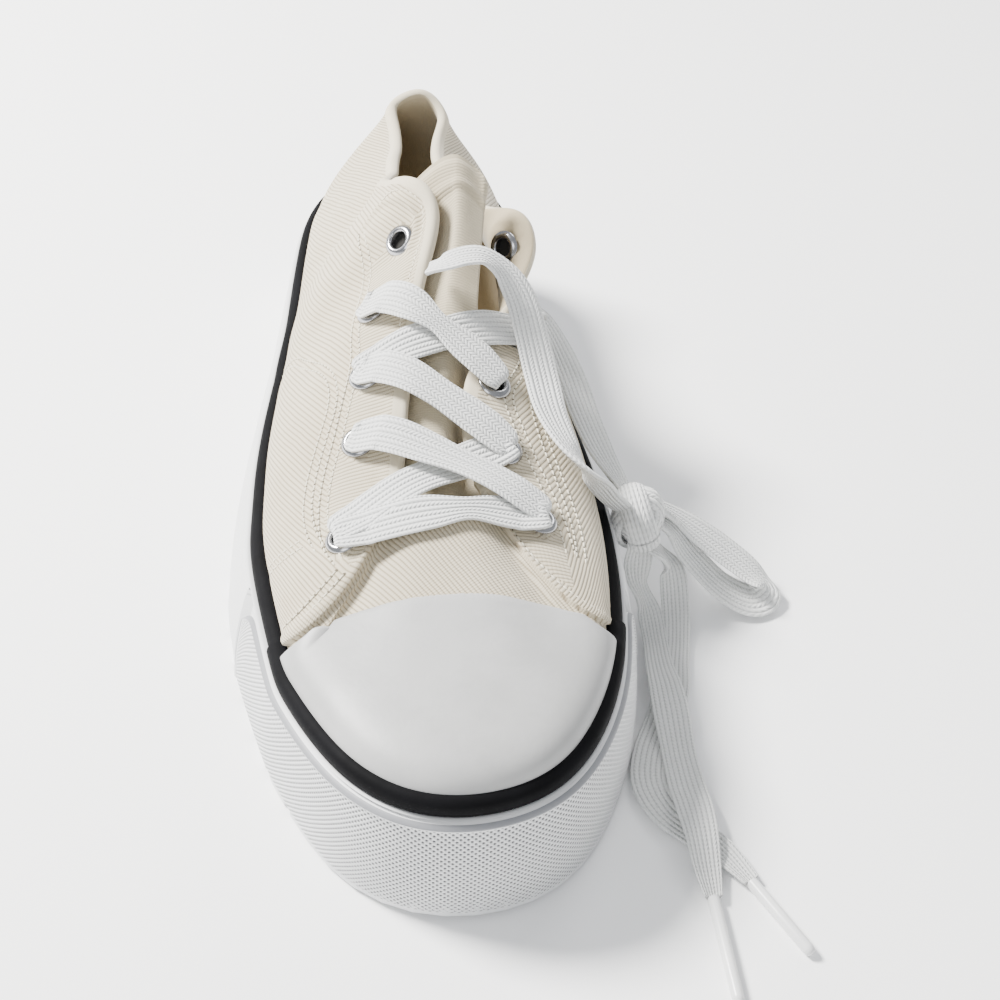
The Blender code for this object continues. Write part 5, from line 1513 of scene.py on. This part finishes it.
class SNEAKER_OT_free_lace(Maker):
    """Ties the lace beside the shoe: two leads, the knot, one loop and two tipped ends"""
    bl_idname = "sneaker.free_lace"
    bl_label = "Free lace"

    def build(self, sizes, colours, stage):
        tips = {}
        for name, run in (("tip_long", TIP_LONG), ("tip_short", TIP_SHORT)):
            tips[name] = self.tip(name, np.array(run), "lace_" + name)
        knot = self.knot()
        keep(knot, "lace", "lace_knot")
        runs = (
            ("lace_run_front", LEAD_FRONT, "lace_lead_front", "knot", []),
            ("lace_run_rear", LEAD_REAR, "lace_lead_rear", "knot", []),
            ("lace_bow", LOOP_RUN, "lace_loop", "knot", []),
            ("lace_tail_long", END_LONG, "lace_end_long", "fitting", [tips["tip_long"]]),
            ("lace_tail_short", END_SHORT, "lace_end_short", "fitting", [tips["tip_short"]]),
        )
        for name, table, node, far, with_pieces in runs:
            piece, path, length = free_ribbon(name, table, sizes)
            keep(piece, "lace", node)

    def tip(self, name, run, node):
        """A clear round tip crimped on the lace's end."""
        start, end = run
        turn = frame_on(unit(end - start))
        shape = ((0.0, 0.6), (0.02, 1.35), (0.06, 1.42), (0.5, 1.38), (0.93, 1.34), (0.985, 1.1), (1.0, 0.5))
        sections = [ring_points(Vector(start + (end - start) * share), turn, radius, 0, 20)
                    for share, radius in shape]
        piece = grid_piece("lace_" + name + "_sleeve", np.array(sections), Shop.get("lace tip"), tube=True,
                           caps=True)
        return keep(piece, "lace_tip", node)

    def knot(self):
        """The knot: a gathered core with the lace wrapped round it."""
        bands = [self.band("knot_band", (0.0062, 0, 0), (0, 0.0006, 0.0061), (0.25, 1.0, 0.22), 0.0058),
                 self.band("knot_turn", (0.0006, -0.0086, -0.0006), (-0.0022, 0, 0.0070), (1.0, 0.10, 0.28),
                           0.0040)]
        core = []
        turns = np.linspace(0, 2 * pi, 49)[:-1]
        for v in np.sin(np.linspace(-1.53, 1.53, 31)):
            ring_radius = (1 - v * v) ** 0.5
            row = []
            for t in turns:
                fold = 1 + 0.09 * (1 - v * v) * sin(5 * t + 2 * v)
                row.append(KNOT_CENTRE + np.array([0.0060 * ring_radius * fold * cos(t), 0.0092 * v,
                                                   0.0057 * ring_radius * fold * sin(t)]))
            core.append(row)
        core = np.array(core)
        cloth = np.stack([np.broadcast_to((turns * 0.004)[None], core.shape[:2]), core[..., 1]], -1)
        body = grid_piece("lace_knot_core", core, Shop.get("lace"), tube=True, caps=True, cloth=cloth,
                          sharp=80)
        bpy.ops.object.select_all(action="DESELECT")
        for piece in bands + [body]:
            piece.select_set(True)
        bpy.context.view_layer.objects.active = body
        bpy.ops.object.join()
        return body

    def band(self, name, first, second, tilt, half):
        """One turn of lace round the knot: its ring is spanned by first and second, its width by tilt."""
        first, second, tilt = np.array(first), np.array(second), unit(np.array(tilt))
        turns = np.linspace(0, 2 * pi, 73)[:-1]
        across = np.linspace(-1, 1, 25)
        cord = 0.00016 * np.abs(np.sin(across * 3 * pi))
        thick = 0.0009 * (1 - across ** 4) + cord
        crown = -0.0018 * across ** 2 * (half / 0.0058) ** 2
        points = []
        for t in turns:
            out = first * cos(t) + second * sin(t)
            centre = KNOT_CENTRE + out
            out = unit(out)
            outer = centre + tilt * (across * half)[:, None] + out * (thick + crown)[:, None]
            inner = (centre + tilt * (across[::-1] * half)[:, None]
                     + out * (-0.0008 + crown[::-1])[:, None])
            points.append(np.vstack([outer, inner]))
        points = np.array(points)
        flat = np.concatenate([across, across[::-1]]) * BRAID_HALF
        cloth = np.stack([np.broadcast_to(flat, points.shape[:2]),
                          np.broadcast_to((turns * 0.005)[:, None], points.shape[:2])], -1)
        return grid_piece(name, points, Shop.get("lace"), ring=True, tube=True, cloth=cloth, sharp=80)


# The radius of a needle hole, as a share of the thread's thickness
HOLE_SHARE = 0.92


class SNEAKER_OT_stitching(Maker):
    """Sews the rows of stitches, with painted shade at their needle holes"""
    bl_idname = "sneaker.stitching"
    bl_label = "Stitching"

    def build(self, sizes, colours, stage):
        threads, holes = [], []
        for _, rows, table in STITCH_ROWS:
            smooth = row_run(table)
            run, out = surface_point(smooth[:, 0], smooth[:, 1])
            along = unit(np.gradient(run, axis=0))
            side = unit(np.cross(out, along))
            offsets = (0.0,) if rows == 1 else (-sizes.row_gap / 2, sizes.row_gap / 2)
            for offset in offsets:
                line = run + side * offset
                length = lengths_along(line)
                count = int(length[-1] / sizes.stitch_pitch)
                for number in range(count):
                    spots = (number + np.array([0.10, 0.5, 0.90])) * sizes.stitch_pitch
                    points = np.stack([np.interp(spots, length, line[:, c]) for c in range(3)], -1)
                    index = min(np.searchsorted(length, spots[1]), len(out) - 1)
                    threads.append((points, out[index]))
                    gap = number * sizes.stitch_pitch
                    hole = np.array([np.interp(gap, length, line[:, c]) for c in range(3)])
                    holes.append((hole, out[index]))
        self.sew(threads, sizes)
        self.prick(holes, sizes)

    def sew(self, threads, sizes):
        """Each stitch is a short rounded thread that dips at its ends."""
        radius = sizes.stitch_width / 2
        around = np.linspace(0, 2 * pi, 7)[:-1]
        profile_rows = ((-1.02, 0.30, -0.30), (-0.72, 0.85, 0.12), (0.0, 1.0, 0.34), (0.72, 0.85, 0.12),
                        (1.02, 0.30, -0.30))
        points, faces = [], []
        for (first, middle, last), out in threads:
            along = (last - first) / 2
            side = unit(np.cross(out, along))
            start = len(points)
            for share, size, lift in profile_rows:
                centre = middle + along * share + out * radius * (lift + 0.1)
                for t in around:
                    points.append(centre + (side * cos(t) + out * sin(t)) * radius * size)
            rows, columns = len(profile_rows), len(around)
            for r in range(rows - 1):
                for c in range(columns):
                    n = (c + 1) % columns
                    faces.append([start + r * columns + c, start + (r + 1) * columns + c,
                                  start + (r + 1) * columns + n, start + r * columns + n])
            faces.append([start + c for c in range(columns)])
            faces.append([start + (rows - 1) * columns + c for c in reversed(range(columns))])
        piece = finish_mesh("stitching", points, faces, Shop.get("thread"), None, 80)
        keep(piece, "canvas")

    def prick(self, holes, sizes):
        """A dark disc at the needle hole between two stitches: painted shade in the hole."""
        radius = sizes.stitch_width * HOLE_SHARE
        points, faces = [], []
        for centre, out in holes:
            turn = frame_on(out)
            start = len(points)
            for t in np.linspace(0, 2 * pi, 7)[:-1]:
                corner = Vector((radius * cos(t), radius * sin(t), 0.00002))
                points.append(np.array(Vector(centre) + turn @ corner))
            points.append(centre + out * 0.00009)
            points.append(centre - out * 0.0002)
            for c in range(6):
                n = (c + 1) % 6
                faces.append([start + c, start + n, start + 6])
                faces.append([start + n, start + c, start + 7])
        piece = finish_mesh("needle_hole_shade", points, faces, Shop.get("needle hole"), None, 80)
        keep(piece, "canvas")


class SNEAKER_PT_panel(bpy.types.Panel):
    """Lists the sneaker's builders in the sidebar"""
    bl_idname = "SNEAKER_PT_panel"
    bl_label = "Canvas sneaker"
    bl_space_type = "VIEW_3D"
    bl_region_type = "UI"
    bl_category = "Sneaker"

    def draw(self, context):
        for operator in OPERATORS:
            self.layout.operator(operator.bl_idname)
        for group in hands():
            box = self.layout.box()
            for key in group.__annotations__:
                box.prop(group, key)


GROUPS = (SneakerColours, SneakerSizes, StageSettings)
OPERATORS = (SNEAKER_OT_stage, SNEAKER_OT_free_lace, SNEAKER_OT_upper, SNEAKER_OT_toe_cap, SNEAKER_OT_sole,
             SNEAKER_OT_tongue, SNEAKER_OT_eyelets, SNEAKER_OT_straps, SNEAKER_OT_stitching)


def register():
    for cls in GROUPS + OPERATORS + (SNEAKER_PT_panel,):
        bpy.utils.register_class(cls)
    bpy.types.Scene.sneaker_colours = bpy.props.PointerProperty(type=SneakerColours)
    bpy.types.Scene.sneaker_sizes = bpy.props.PointerProperty(type=SneakerSizes)
    bpy.types.Scene.sneaker_stage = bpy.props.PointerProperty(type=StageSettings)


def unregister():
    for name in ("sneaker_stage", "sneaker_sizes", "sneaker_colours"):
        delattr(bpy.types.Scene, name)
    for cls in reversed(GROUPS + OPERATORS + (SNEAKER_PT_panel,)):
        bpy.utils.unregister_class(cls)


def main():
    register()
    bpy.ops.sneaker.stage()
    bpy.ops.sneaker.free_lace()
    bpy.ops.sneaker.upper()
    bpy.ops.sneaker.toe_cap()
    bpy.ops.sneaker.sole()
    bpy.ops.sneaker.tongue()
    bpy.ops.sneaker.eyelets()
    bpy.ops.sneaker.straps()
    bpy.ops.sneaker.stitching()


if __name__ == "__main__":
    main()
